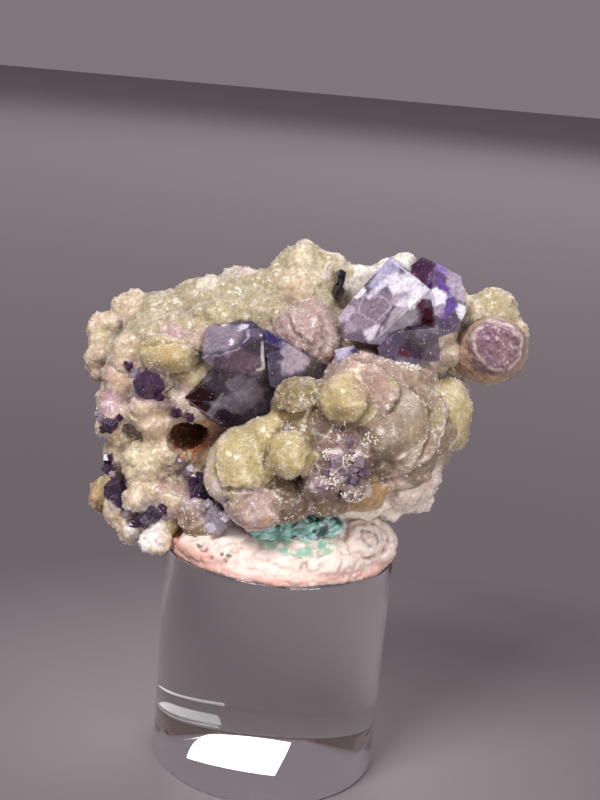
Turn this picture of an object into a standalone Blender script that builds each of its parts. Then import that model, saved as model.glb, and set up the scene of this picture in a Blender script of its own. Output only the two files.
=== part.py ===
"""Phantom fluorite on a botryoidal crust, stuck with putty to a clear round acrylic base.

The row frame has its origin at the centre of the base's underside, +Z up, +Y away from the
side that the specimen shows best. All tables are in millimetres and become metres when built.
"""

import math

import bmesh
import bpy
from mathutils import Euler, Matrix, Vector

MM = 0.001

# Driving dimensions: a one inch acrylic rod, one inch long, carries a specimen 49 mm across.
BASE_DIAMETER = 25.4
BASE_HEIGHT = 25.4
BASE_EDGE = 0.35
BASE_SIDES = 72

# Room left between pieces that touch, and how far the putty keeps from the stone.
GAP = 0.3
PUTTY_GAP = 0.45

# Fineness of the skins that are drawn over the lumps, and the faces left on each.
STONE_VOXEL = 0.55
STONE_FACES = 5200
PUTTY_VOXEL = 0.6
PUTTY_FACES = 900
TEAL_FACES = 360

# Faces of a crystal that differ by less than this many degrees are one flat face.
FLAT_ANGLE = 4.0

# Each lump is x, y, z of its centre, its radius across and its radius in height. Its depth is
# the mean of the two. The stone is the union of all of them.
CORE = [
    (-11.5, 4.5, 45.0, 7.5, 5.5), (-3.0, 5.0, 45.5, 8.0, 6.0), (-12.0, 4.0, 41.0, 7.5, 6.5),
    (-13.0, 3.5, 33.5, 6.5, 6.0),
    (6.0, 2.5, 41.0, 9.5, 8.0), (10.5, 1.5, 38.0, 7.5, 7.0), (0.0, 3.5, 35.0, 10.0, 5.0),
    (4.5, -3.5, 39.5, 6.0, 5.5), (11.0, 5.0, 49.5, 7.5, 5.5), (-7.0, 5.0, 33.0, 6.0, 4.5),
    (2.0, 5.5, 48.5, 6.5, 5.0), (-12.5, 0.5, 30.5, 5.0, 4.5), (0.0, -5.0, 35.5, 5.0, 3.5),
]
FRONT_LOBE = [
    (-4.8, -8.5, 36.1, 3.7, 4.3), (0.2, -11.4, 39.1, 2.2, 2.4), (5.3, -10.0, 45.2, 2.7, 2.7),
    (7.4, -7.0, 45.6, 4.1, 3.5), (0.7, -7.5, 43.8, 2.8, 2.3), (1.2, -7.5, 40.4, 3.1, 2.5),
    (5.8, -8.5, 39.2, 3.5, 3.1), (3.7, -10.5, 36.2, 1.8, 1.7), (6.8, -10.0, 36.3, 1.8, 1.7),
    (9.7, -8.0, 42.1, 3.9, 3.7), (11.8, -6.5, 39.0, 3.8, 4.0), (14.3, -4.5, 41.7, 3.2, 3.8),
    (16.4, -3.0, 42.4, 2.8, 4.0), (17.5, -3.0, 40.6, 1.7, 2.1), (11.0, -5.0, 45.4, 3.5, 2.9),
    (7.5, -4.5, 47.1, 3.8, 1.9), (11.5, -3.5, 46.8, 3.2, 1.7), (-2.8, -10.0, 32.8, 3.3, 2.4),
    (0.4, -9.5, 33.4, 2.3, 2.3), (4.6, -8.5, 33.7, 2.5, 1.9), (8.3, -8.0, 34.5, 2.3, 1.9),
    (-2.0, -8.0, 39.4, 3.1, 2.7), (3.0, -6.0, 41.5, 4.2, 4.2),
]
RIGHT_LEDGE = [
    (12.5, -3.5, 34.0, 2.8, 2.4), (14.7, -2.0, 35.3, 2.0, 2.6), (14.0, -1.5, 32.1, 2.0, 1.5),
    (11.4, -2.0, 31.1, 2.2, 1.1), (7.3, -5.0, 32.0, 3.2, 1.3),
]
REAR_RIDGE = [
    (-18.2, 5.0, 48.9, 2.7, 2.2), (-21.3, 5.0, 46.4, 2.2, 2.2), (-21.6, 4.0, 43.8, 1.8, 2.7),
    (-14.8, 4.5, 49.3, 3.3, 2.6), (-10.6, 4.5, 50.8, 3.5, 2.9), (-6.4, 4.5, 52.1, 3.3, 3.0),
    (-2.9, 4.5, 52.9, 2.9, 2.6), (0.2, 4.0, 52.4, 2.8, 2.8), (2.7, 4.0, 52.4, 2.0, 3.1),
    (-12.8, 1.5, 47.7, 3.3, 2.4), (-8.4, 1.0, 50.1, 3.0, 2.2), (-4.1, 1.5, 50.9, 3.0, 2.2),
    (-16.0, 1.0, 47.0, 2.8, 2.4), (-17.7, 0.0, 45.1, 2.6, 2.6), (-10.7, -2.0, 47.5, 1.8, 1.3),
]
TOP_KNOB = [
    (0.0, 4.0, 56.3, 2.0, 2.2), (-1.6, 4.5, 55.2, 1.9, 2.0), (2.9, 4.5, 55.2, 1.9, 2.3),
    (-0.3, 2.5, 54.1, 1.9, 1.5), (1.7, 3.0, 53.8, 1.7, 1.7), (0.8, -0.5, 49.7, 3.3, 2.8),
    (3.0, -1.5, 48.4, 1.5, 2.3),
]
LEFT_SIDE = [
    (-13.5, -3.0, 46.5, 3.2, 1.8), (-18.4, 0.0, 42.6, 2.4, 2.6), (-19.1, -0.5, 40.4, 2.2, 2.2),
    (-15.5, -4.0, 41.0, 1.7, 1.7), (-19.2, -2.0, 39.0, 1.8, 1.5), (-19.6, -2.0, 37.6, 1.3, 1.1),
    (-15.0, -3.0, 39.0, 2.4, 1.4), (-12.8, -2.5, 40.4, 1.9, 1.5), (-11.7, -1.5, 41.8, 1.9, 1.5),
    (-11.0, -1.5, 43.8, 1.9, 1.9), (-15.5, -1.0, 43.5, 2.8, 2.6),
]
LOWER_LEFT = [
    (-18.1, -0.5, 34.3, 2.1, 2.2), (-15.2, -3.0, 34.3, 2.4, 2.2), (-13.1, -3.0, 35.6, 1.5, 1.5),
    (-14.4, -3.0, 32.1, 1.9, 1.9), (-15.8, -5.0, 30.7, 1.4, 1.6), (-12.0, -4.5, 30.7, 1.7, 1.9),
    (-13.4, -3.5, 27.7, 2.2, 2.0), (-9.4, -5.5, 30.0, 1.9, 1.9), (-8.0, -5.5, 28.5, 2.6, 1.7),
    (-16.1, -2.5, 26.4, 2.0, 1.8), (-15.1, -2.4, 26.0, 2.0, 1.3), (-18.1, -1.5, 28.4, 1.5, 2.2),
    (-20.5, 3.0, 28.0, 1.6, 2.2), (-18.2, 2.5, 29.3, 2.6, 2.4), (-13.4, -6.2, 26.4, 1.7, 1.3),
    (-10.3, -1.0, 32.9, 1.3, 1.3), (-8.7, -3.0, 31.0, 1.7, 2.0),
]
RIGHT_ARM = [
    (21.4, 5.0, 52.7, 2.6, 2.4), (19.3, 4.0, 51.4, 2.0, 2.6), (18.1, 3.5, 48.2, 2.2, 2.9),
    (23.9, 4.5, 50.6, 1.2, 1.8), (6.5, 5.0, 54.1, 2.4, 2.4), (11.0, 4.5, 56.8, 1.4, 1.4),
    (9.0, 5.0, 55.0, 2.2, 2.4), (15.2, 5.0, 53.3, 2.6, 3.1), (13.6, -1.0, 47.5, 1.9, 1.5),
    (16.0, 1.0, 48.4, 1.7, 1.7),
]
BACK = [
    (-17.0, 8.5, 45.0, 3.2, 3.4), (-11.5, 10.0, 46.5, 3.6, 3.0), (-5.5, 10.5, 47.5, 3.4, 3.2),
    (0.5, 11.0, 48.0, 3.6, 3.0), (6.5, 10.5, 47.5, 3.4, 3.4), (12.5, 10.0, 47.0, 3.4, 3.2),
    (-19.0, 7.5, 39.0, 2.8, 3.2), (-14.0, 9.5, 39.5, 3.8, 3.4), (-7.5, 11.5, 40.5, 4.0, 3.6),
    (-0.5, 12.0, 41.0, 3.8, 3.8), (6.0, 11.5, 40.5, 4.0, 3.4), (12.5, 9.5, 40.0, 3.8, 3.6),
    (17.0, 6.0, 42.5, 2.8, 3.4), (-16.5, 7.0, 32.5, 3.2, 3.0), (-10.0, 9.0, 33.5, 3.6, 3.0),
    (-3.5, 10.5, 34.5, 3.6, 3.0), (3.5, 10.5, 34.5, 3.4, 2.8), (9.5, 8.5, 34.0, 3.4, 2.8),
    (14.5, 5.0, 35.5, 2.8, 2.8), (-13.0, 5.5, 28.0, 3.4, 2.4), (-7.0, 6.5, 30.0, 3.0, 1.8),
    (-14.0, 8.0, 48.5, 3.0, 2.4), (-8.5, 9.0, 50.0, 3.2, 2.4), (-3.0, 9.5, 50.5, 3.0, 2.4),
    (3.0, 9.5, 50.5, 3.0, 2.6), (9.0, 9.0, 50.5, 3.0, 2.8), (14.5, 8.0, 49.5, 2.8, 2.6),
    (-11.0, 11.5, 43.0, 3.0, 2.6), (-4.0, 12.5, 44.3, 3.0, 2.6), (3.5, 12.5, 44.3, 3.0, 2.6),
    (9.5, 11.5, 43.5, 3.0, 2.6), (0.0, 7.5, 53.0, 2.5, 2.0), (7.0, 7.5, 52.8, 2.6, 2.2),
]
STONE_LUMPS = (CORE + FRONT_LOBE + RIGHT_LEDGE + REAR_RIDGE + TOP_KNOB + LEFT_SIDE + LOWER_LEFT
               + RIGHT_ARM + BACK)

# The dark pocket on the left, below the big crystal: centre and the three radii.
POCKET_CENTRE = (-10.8, -3.5, 37.3)
POCKET_RADII = (2.3, 6.0, 1.7)

# The large crystals are given by their corners. Each list is one flat-faced crystal, and the
# crystals of one name have grown into each other.
LARGE_CRYSTALS = {
    "fluorite_left_cluster": [
        [
            (-9.7, -6.6, 47.1), (-9.8, -0.9, 49.6), (-5.0, -2.3, 50.6), (-3.7, -4.2, 50.2),
            (-3.7, -5.7, 49.6), (-7.3, -5.2, 45.0), (-3.1, -4.3, 45.9), (-8.4, -1.6, 46.2),
            (-4.4, 0.3, 47.4), (-8.9, 0.3, 47.0), (-2.7, -2.9, 47.1),
        ],
        [
            (-7.9, -4.9, 45.2), (-8.3, -3.9, 41.8), (-7.3, -2.6, 38.7), (-3.1, -1.6, 39.2),
            (0.2, -2.1, 43.7), (-0.9, -3.9, 47.9), (-3.7, -5.2, 49.2), (-11.8, -3.2, 41.6),
            (-9.3, -3.4, 44.2), (-6.5, 2.0, 48.6), (-1.5, 2.0, 47.5), (-7.2, 1.5, 39.2),
            (-2.0, 3.0, 40.0),
        ],
        [
            (-3.7, -3.2, 50.1), (1.1, -4.5, 47.7), (0.4, -5.5, 45.9), (-2.8, -4.3, 48.1),
            (0.1, -6.4, 43.9), (-2.5, -5.9, 44.7), (3.4, -3.0, 46.7), (3.0, -4.0, 44.2),
            (2.9, 1.5, 43.0), (3.0, 0.5, 45.8), (-3.3, 1.5, 48.8), (-2.0, 1.5, 42.3),
        ],
    ],
    "fluorite_top_cluster": [
        [
            (9.0, 0.3, 58.3), (12.9, -5.1, 56.1), (9.9, -4.7, 54.0), (7.6, -6.5, 50.1),
            (4.7, -4.3, 50.0), (4.0, -2.1, 51.7), (5.3, -1.2, 53.7), (13.4, -2.5, 55.5),
            (14.3, -2.4, 51.7), (11.0, -4.5, 49.9), (14.7, 3.0, 53.6), (10.3, 4.5, 57.2),
            (5.7, 2.0, 49.7), (11.2, 3.0, 48.3),
        ],
        [
            (8.2, -5.9, 49.7), (10.0, -5.7, 51.5), (14.2, -5.4, 52.2), (14.8, -5.6, 48.8),
            (8.9, -5.9, 47.6), (14.2, -2.0, 52.2), (10.4, -2.0, 51.7), (15.4, 1.0, 48.3),
            (9.5, 1.0, 47.8), (14.7, 1.0, 51.4),
        ],
        [
            (13.8, 0.8, 58.0), (16.7, 1.2, 56.7), (17.6, 0.1, 53.4), (16.8, -1.1, 51.2),
            (14.7, -2.1, 50.5), (13.6, -0.9, 54.2), (11.4, 2.6, 57.2), (12.4, 2.2, 58.3),
            (11.7, 0.6, 53.8), (12.7, 7.5, 56.9), (17.0, 7.5, 55.2), (17.9, 6.5, 50.4),
            (14.1, 6.5, 49.5),
        ],
    ],
    "fluorite_coated_ball": [
        [
            (18.2, -1.9, 51.4), (19.8, -1.9, 52.7), (22.4, -1.9, 52.5), (23.7, -1.9, 51.5),
            (23.8, -1.9, 49.1), (22.4, -1.9, 47.3), (20.2, -1.9, 47.6), (18.7, -1.9, 49.3),
            (16.4, 1.6, 47.7), (17.5, 1.6, 50.6), (18.9, 1.6, 52.1), (21.0, 1.6, 52.9),
            (23.5, 1.6, 52.1), (25.0, 1.6, 50.6), (25.1, 1.6, 47.6), (23.8, 1.6, 45.8),
            (21.2, 1.6, 44.8), (19.0, 1.6, 45.2), (17.1, 1.6, 46.4), (17.3, 4.6, 47.9),
            (19.3, 4.6, 51.0), (23.3, 4.6, 51.4), (25.2, 4.6, 49.2), (25.0, 4.6, 46.4),
            (21.7, 4.6, 44.9), (18.2, 4.6, 45.8), (19.6, 6.6, 48.6), (21.5, 6.6, 50.1),
            (23.6, 6.6, 49.0), (23.5, 6.6, 46.9), (21.0, 6.6, 46.2),
        ],
    ],
}

# The small crystals are cubes: centre, edge and turn in degrees.
SMALL_CRYSTALS = {
    "fluorite_small_step": [((5.3, -5.6, 47.9), 2.5, (24, -18, 5))],
    "fluorite_small_left": [((-15.1, -5.0, 43.4), 2.3, (35, 20, 35))],
    "fluorite_small_low": [((-18.2, -3.2, 31.0), 2.0, (10, -25, -12))],
    "fluorite_small_side": [((-19.3, -1.8, 32.9), 1.2, (20, 30, 10))],
    "fluorite_small_pair": [
        ((-13.8, -5.2, 29.3), 1.5, (15, 25, 20)),
        ((-14.6, -5.5, 28.6), 1.3, (30, -15, 40)),
    ],
    "fluorite_small_mid": [((-8.6, -5.2, 32.9), 2.4, (20, 12, 30))],
    "fluorite_small_pale": [((-6.6, -7.8, 30.4), 2.3, (15, 8, -25))],
    "fluorite_small_edge": [((-19.1, -3.6, 38.3), 1.4, (25, 15, -20))],
    "fluorite_small_dark": [
        ((3.8, 1.2, 53.9), 1.7, (10, 30, 40)),
        ((3.9, 1.2, 55.3), 1.5, (-20, 15, 20)),
    ],
    "fluorite_back_upper": [
        ((-2.5, 14.0, 45.0), 4.2, (20, 25, 15)),
        ((-0.2, 14.2, 43.2), 3.0, (-15, 40, 30)),
    ],
    "fluorite_back_lower": [((9.5, 12.6, 37.5), 3.4, (30, 10, 50))],
    "fluorite_back_left": [((-15.5, 12.0, 42.5), 2.8, (15, -20, 35))],
}

# Putty between the base and the stone: the same kind of table as the stone's lumps.
PUTTY_LUMPS = [
    (0.0, 0.0, 26.6, 12.0, 1.9), (2.0, -6.5, 26.9, 7.5, 3.2), (-3.5, -6.0, 26.6, 7.5, 2.4),
    (8.2, -4.0, 27.6, 4.6, 3.2), (8.6, -5.4, 28.0, 2.8, 2.9), (0.5, -9.4, 26.6, 3.0, 2.2),
    (4.5, -8.6, 26.8, 3.2, 2.6), (-6.0, -7.0, 26.2, 3.4, 1.8), (-6.0, 3.0, 27.0, 5.0, 3.0),
    (5.0, 5.0, 27.5, 5.5, 3.2), (0.0, 8.0, 27.0, 4.0, 2.4), (-9.4, -1.0, 26.4, 2.4, 1.6),
]
# The thin film of putty along the rim, as lumps at this distance from the axis, this wide and
# this tall.
RIM_LUMP = (10.4, 2.2, 1.1)
RIM_COUNT = 20
TEAL_LUMPS = [
    (-1.6, -8.3, 29.6, 2.0, 1.1), (0.6, -8.4, 29.9, 1.9, 1.3), (2.8, -8.2, 30.3, 2.0, 1.4),
    (5.0, -7.8, 30.6, 1.7, 1.2), (1.6, -6.6, 30.4, 3.4, 1.6),
]

# Colour, roughness, metallic value and how much light each finish lets through.
FINISHES = {
    "crust": ((0.66, 0.60, 0.42, 1.0), 0.45, 0.0, 0.0),
    "fluorite": ((0.36, 0.30, 0.46, 1.0), 0.15, 0.0, 0.4),
    "coated_fluorite": ((0.50, 0.38, 0.40, 1.0), 0.4, 0.0, 0.0),
    "putty": ((0.85, 0.77, 0.72, 1.0), 0.6, 0.0, 0.0),
    "teal_putty": ((0.35, 0.62, 0.58, 1.0), 0.55, 0.0, 0.0),
    "acrylic": ((0.95, 0.96, 0.97, 1.0), 0.03, 0.0, 1.0),
}


def clear_scene():
    """Removes every object that the file started with."""
    for obj in list(bpy.data.objects):
        bpy.data.objects.remove(obj, do_unlink=True)


def new_collection(name, hidden=False):
    """A collection linked to the scene."""
    collection = bpy.data.collections.new(name)
    collection.hide_render = hidden
    bpy.context.scene.collection.children.link(collection)
    return collection


def make_finish(name):
    """The Principled material for one of FINISHES."""
    colour, roughness, metallic, transmission = FINISHES[name]
    material = bpy.data.materials.new(name)
    material.use_nodes = True
    shader = material.node_tree.nodes["Principled BSDF"]
    shader.inputs["Base Color"].default_value = colour
    shader.inputs["Roughness"].default_value = roughness
    shader.inputs["Metallic"].default_value = metallic
    shader.inputs["Transmission Weight"].default_value = transmission
    return material


def object_from(name, mesh, collection):
    """A new object that shows mesh."""
    obj = bpy.data.objects.new(name, mesh)
    collection.objects.link(obj)
    return obj


def in_metres(point):
    """A point of the millimetre tables, in metres."""
    return Vector(point) * MM


def lump_object(name, lumps, collection, grow=0.0, subdivisions=2):
    """One object that holds an ellipsoid for every lump, all grown by the same amount."""
    shapes = bmesh.new()
    for x, y, z, across, tall in lumps:
        deep = (across + tall) / 2
        radii = Matrix.Diagonal((across + grow, deep + grow, tall + grow, 1)) * MM
        radii[3][3] = 1
        place = Matrix.Translation(in_metres((x, y, z)))
        bmesh.ops.create_icosphere(shapes, subdivisions=subdivisions, radius=1, matrix=place @ radii)
    mesh = bpy.data.meshes.new(name)
    shapes.to_mesh(mesh)
    shapes.free()
    return object_from(name, mesh, collection)


def apply_modifiers(obj):
    """Replaces the object's mesh by its evaluated one and drops the modifiers."""
    graph = bpy.context.evaluated_depsgraph_get()
    made = bpy.data.meshes.new_from_object(obj.evaluated_get(graph))
    old = obj.data
    obj.modifiers.clear()
    obj.data = made
    bpy.data.meshes.remove(old)


def keep_outer_shell(obj):
    """Deletes every island of the mesh but the one with the most corners."""
    shell = bmesh.new()
    shell.from_mesh(obj.data)
    left = set(shell.verts)
    islands = []
    while left:
        island = {left.pop()}
        front = list(island)
        while front:
            corner = front.pop()
            for edge in corner.link_edges:
                other = edge.other_vert(corner)
                if other in left:
                    left.remove(other)
                    island.add(other)
                    front.append(other)
        islands.append(island)
    kept = max(islands, key=len)
    bmesh.ops.delete(shell, geom=[v for v in shell.verts if v not in kept], context="VERTS")
    shell.to_mesh(obj.data)
    shell.free()


def draw_skin(obj, voxel, faces):
    """Draws one closed skin over overlapping lumps and thins it to about so many triangles."""
    remesh = obj.modifiers.new("skin", "REMESH")
    remesh.mode = "VOXEL"
    remesh.voxel_size = voxel * MM
    apply_modifiers(obj)
    keep_outer_shell(obj)
    thin = obj.modifiers.new("thin", "DECIMATE")
    thin.ratio = min(1.0, faces / (2 * len(obj.data.polygons)))
    thin.use_collapse_triangulate = True
    apply_modifiers(obj)


def cube_object(name, cube, collection, grow=0.0):
    """A cube at its centre and turn, with every face moved out by grow."""
    centre, edge, turn = cube
    angles = Euler([math.radians(angle) for angle in turn])
    place = Matrix.Translation(in_metres(centre)) @ angles.to_matrix().to_4x4()
    shape = bmesh.new()
    bmesh.ops.create_cube(shape, size=(edge + 2 * grow) * MM, matrix=place)
    mesh = bpy.data.meshes.new(name)
    shape.to_mesh(mesh)
    shape.free()
    return object_from(name, mesh, collection)


def combine(obj, other, operation):
    """Adds a Boolean of other to obj."""
    boolean = obj.modifiers.new(operation.lower(), "BOOLEAN")
    boolean.operation = operation
    boolean.solver = "EXACT"
    boolean.object = other


def hull_object(name, corners, collection, grow=0.0):
    """The convex solid over the corners, each of which is first spread by grow along the axes."""
    shape = bmesh.new()
    for corner in corners:
        if grow:
            for axis in ((1, 0, 0), (0, 1, 0), (0, 0, 1)):
                shape.verts.new((Vector(corner) + grow * Vector(axis)) * MM)
                shape.verts.new((Vector(corner) - grow * Vector(axis)) * MM)
        else:
            shape.verts.new(in_metres(corner))
    made = bmesh.ops.convex_hull(shape, input=shape.verts)
    inner = {item for item in made["geom_interior"] if isinstance(item, bmesh.types.BMVert)}
    bmesh.ops.delete(shape, geom=list(inner), context="VERTS")
    flat = math.radians(FLAT_ANGLE)
    bmesh.ops.dissolve_limit(shape, angle_limit=flat, verts=shape.verts, edges=shape.edges)
    mesh = bpy.data.meshes.new(name)
    shape.to_mesh(mesh)
    shape.free()
    return object_from(name, mesh, collection)


def join_crystal(name, shapes, collection):
    """One solid made of crystals that have grown into each other."""
    crystal = object_from(name, shapes[0].data.copy(), collection)
    for other in shapes[1:]:
        combine(crystal, other, "UNION")
    apply_modifiers(crystal)
    return crystal


def crystal_shapes(suffix, collection, grow=0.0):
    """Every crystal's name, with the one or more solids that make it up."""
    found = {}
    for table, make in ((LARGE_CRYSTALS, hull_object), (SMALL_CRYSTALS, cube_object)):
        for name, shapes in table.items():
            found[name] = [
                make(f"{name}{suffix}_{number}", shape, collection, grow)
                for number, shape in enumerate(shapes, 1)
            ]
    return found


def cut_sockets(stone, cutters):
    """Cuts the pocket and a seat for every crystal out of the stone."""
    pocket_place = Matrix.Translation(in_metres(POCKET_CENTRE))
    pocket_radii = Matrix.Diagonal((*in_metres(POCKET_RADII), 1))
    shape = bmesh.new()
    bmesh.ops.create_icosphere(shape, subdivisions=3, radius=1, matrix=pocket_place @ pocket_radii)
    mesh = bpy.data.meshes.new("pocket")
    shape.to_mesh(mesh)
    shape.free()
    combine(stone, object_from("pocket", mesh, cutters), "DIFFERENCE")
    for seats in crystal_shapes("_seat", cutters, GAP).values():
        for seat in seats:
            combine(stone, seat, "DIFFERENCE")
    apply_modifiers(stone)
    keep_outer_shell(stone)


def floor_cutter(name, top, collection):
    """A block that reaches up to the height top, to cut something off flat there."""
    side = 3 * BASE_DIAMETER * MM
    shape = bmesh.new()
    place = Matrix.Translation((0, 0, top * MM - side / 2))
    bmesh.ops.create_cube(shape, size=side, matrix=place)
    mesh = bpy.data.meshes.new(name)
    shape.to_mesh(mesh)
    shape.free()
    return object_from(name, mesh, collection)


def rim_lumps():
    """The film of putty that reaches the base's rim all round."""
    distance, across, tall = RIM_LUMP
    lumps = []
    for step in range(RIM_COUNT):
        angle = 2 * math.pi * step / RIM_COUNT
        x, y = distance * math.cos(angle), distance * math.sin(angle)
        lumps.append((x, y, BASE_HEIGHT + GAP, across, tall))
    return lumps


def press_putty(name, lumps, faces, against, cutters, parts):
    """A lump of putty, flat on the base and pressed into whatever is above it."""
    putty = lump_object(name, lumps, parts)
    draw_skin(putty, PUTTY_VOXEL, faces)
    combine(putty, floor_cutter(f"{name}_floor", BASE_HEIGHT + GAP, cutters), "DIFFERENCE")
    for cutter in against:
        combine(putty, cutter, "DIFFERENCE")
    apply_modifiers(putty)
    keep_outer_shell(putty)
    return putty


def turn_base(parts):
    """The acrylic base, turned from half its outline."""
    radius = BASE_DIAMETER / 2
    outline = [
        (0, BASE_HEIGHT), (radius - BASE_EDGE, BASE_HEIGHT), (radius, BASE_HEIGHT - BASE_EDGE),
        (radius, BASE_EDGE), (radius - BASE_EDGE, 0), (0, 0),
    ]
    profile = bmesh.new()
    corners = [profile.verts.new(in_metres((x, 0, z))) for x, z in outline]
    for start, end in zip(corners, corners[1:]):
        profile.edges.new((start, end))
    mesh = bpy.data.meshes.new("acrylic_base")
    profile.to_mesh(mesh)
    profile.free()
    base = object_from("acrylic_base", mesh, parts)
    screw = base.modifiers.new("turn", "SCREW")
    screw.steps = screw.render_steps = BASE_SIDES
    screw.use_merge_vertices = True
    screw.merge_threshold = 0.01 * MM
    return base


def finish_object(obj, material, smooth_angle=None):
    """Gives the object its material and its shading."""
    obj.data.materials.clear()
    obj.data.materials.append(material)
    if smooth_angle is not None:
        obj.data.shade_smooth()
        obj.data.set_sharp_from_angle(angle=math.radians(smooth_angle))


def main():
    clear_scene()
    parts = new_collection("phantom_fluorite")
    cutters = new_collection("cutters", hidden=True)
    finishes = {name: make_finish(name) for name in FINISHES}

    stone = lump_object("crust_matrix", STONE_LUMPS, parts)
    draw_skin(stone, STONE_VOXEL, STONE_FACES)
    cut_sockets(stone, cutters)
    finish_object(stone, finishes["crust"], smooth_angle=50)

    for name, shapes in crystal_shapes("", cutters).items():
        finish = "coated_fluorite" if name == "fluorite_coated_ball" else "fluorite"
        finish_object(join_crystal(name, shapes, parts), finishes[finish])

    grown_stone = lump_object("stone_room", STONE_LUMPS, cutters, grow=PUTTY_GAP)
    draw_skin(grown_stone, PUTTY_VOXEL, STONE_FACES)
    pale_seat = cube_object(
        "pale_room", SMALL_CRYSTALS["fluorite_small_pale"][0], cutters, PUTTY_GAP)
    teal = press_putty(
        "teal_putty", TEAL_LUMPS, TEAL_FACES, [grown_stone, pale_seat], cutters, parts)
    finish_object(teal, finishes["teal_putty"], smooth_angle=50)
    teal_room = lump_object("teal_room", TEAL_LUMPS, cutters, grow=PUTTY_GAP)
    draw_skin(teal_room, PUTTY_VOXEL, PUTTY_FACES)
    putty = press_putty(
        "mounting_putty", PUTTY_LUMPS + rim_lumps(), PUTTY_FACES,
        [grown_stone, pale_seat, teal_room], cutters, parts)
    finish_object(putty, finishes["putty"], smooth_angle=50)

    finish_object(turn_base(parts), finishes["acrylic"], smooth_angle=30)
    for cutter in cutters.objects:
        cutter.hide_render = True
        cutter.display_type = "WIRE"


main()
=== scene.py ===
# %% [markdown]
# # A fluorite specimen on its clear base
# A botryoidal crust is a rock skin that grew as round lumps on lumps, like grapes. On this one
# sit dark and lilac fluorite cubes with phantom zones: bands of colour that mark where the
# crystal once ended. White putty and a smear of blue-green putty hold it on a clear acrylic rod.
#
# Each piece made here is laid over one of them, so nothing has to be moved into place later.

import math

import bmesh
import bpy
import numpy as np
from mathutils import Euler, Matrix, Vector, noise


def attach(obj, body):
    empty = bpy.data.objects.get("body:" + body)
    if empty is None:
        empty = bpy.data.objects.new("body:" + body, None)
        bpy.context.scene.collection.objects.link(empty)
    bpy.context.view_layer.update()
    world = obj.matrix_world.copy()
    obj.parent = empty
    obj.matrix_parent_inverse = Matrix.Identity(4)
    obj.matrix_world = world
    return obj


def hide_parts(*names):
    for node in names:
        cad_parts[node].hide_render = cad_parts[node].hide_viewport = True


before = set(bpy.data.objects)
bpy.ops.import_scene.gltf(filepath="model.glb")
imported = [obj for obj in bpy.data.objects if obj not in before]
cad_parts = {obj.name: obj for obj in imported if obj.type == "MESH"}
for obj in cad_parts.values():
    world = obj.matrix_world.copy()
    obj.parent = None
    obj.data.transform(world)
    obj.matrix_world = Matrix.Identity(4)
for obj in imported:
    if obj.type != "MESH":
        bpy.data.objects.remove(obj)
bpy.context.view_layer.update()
MM = 0.001

# %% [markdown]
# ## The camera
# The specimen is seen from a little above, slightly tilted, from about 14 cm away. A long lens
# keeps the near lumps from looking larger than the far ones.

# %% Set up the camera
LENS = 58.5
CAMERA_PLACE = (0.0, -136.5, 77.7)
PITCH_DOWN, YAW, ROLL = (math.radians(angle) for angle in (14.71, 0.33, 5.15))


def camera_turn():
    """The camera's three axes as a matrix: right, up and back."""
    ahead = Vector((
        math.sin(YAW) * math.cos(PITCH_DOWN),
        math.cos(YAW) * math.cos(PITCH_DOWN),
        -math.sin(PITCH_DOWN),
    ))
    level = Vector((math.cos(YAW), -math.sin(YAW), 0))
    above = level.cross(ahead)
    right = level * math.cos(ROLL) + above * math.sin(ROLL)
    up = above * math.cos(ROLL) - level * math.sin(ROLL)
    return Matrix((right, up, -ahead)).transposed().to_4x4()


bpy.ops.object.camera_add()
camera = bpy.context.object
camera.name = "photo_camera"
camera.data.lens = LENS
camera.data.sensor_width = 36
camera.data.clip_start = 0.005
camera.matrix_world = Matrix.Translation(Vector(CAMERA_PLACE) * MM) @ camera_turn()
bpy.context.scene.camera = camera
print("camera", [round(c, 4) for c in camera.location])

# %% [markdown]
# ## Helpers for shapes
# Nature repeats one simple form many times. So a ball or a cube is added once as a primitive,
# read off as arrays of corners and faces, and laid down in as many sizes and places as needed.
# A voxel remesh then draws one closed skin over the pile, as a crust grows over its lumps.


# %% Select, add and stack
def only(obj):
    """Makes obj the one selected and active object."""
    bpy.ops.object.select_all(action="DESELECT")
    obj.select_set(True)
    bpy.context.view_layer.objects.active = obj


def read_corners(mesh):
    """The mesh's corners as an array with three columns."""
    corners = np.empty(len(mesh.vertices) * 3)
    mesh.vertices.foreach_get("co", corners)
    return corners.reshape(-1, 3)


def read_normals(mesh):
    """The direction that the surface faces at each corner."""
    normals = np.empty(len(mesh.vertices) * 3, np.float32)
    mesh.vertex_normals.foreach_get("vector", normals)
    return normals.reshape(-1, 3).astype(float)


def taken_off(obj):
    """The corners and faces of a primitive, which is then removed."""
    corners = read_corners(obj.data)
    faces = np.array([face.vertices[:] for face in obj.data.polygons])
    bpy.data.objects.remove(obj)
    return corners, faces


def unit_ball(detail):
    bpy.ops.object.select_all(action="DESELECT")
    bpy.ops.mesh.primitive_ico_sphere_add(subdivisions=detail, radius=1)
    return taken_off(bpy.context.object)


def unit_cube():
    bpy.ops.object.select_all(action="DESELECT")
    bpy.ops.mesh.primitive_cube_add(size=1)
    return taken_off(bpy.context.object)


def piece_from(name, corners, faces, scale=MM):
    """An object with this mesh, whose corners are in millimetres."""
    mesh = bpy.data.meshes.new(name)
    mesh.from_pydata((np.asarray(corners) * scale).tolist(), [], np.asarray(faces).tolist())
    piece = bpy.data.objects.new(name, mesh)
    bpy.context.scene.collection.objects.link(piece)
    return piece


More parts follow.
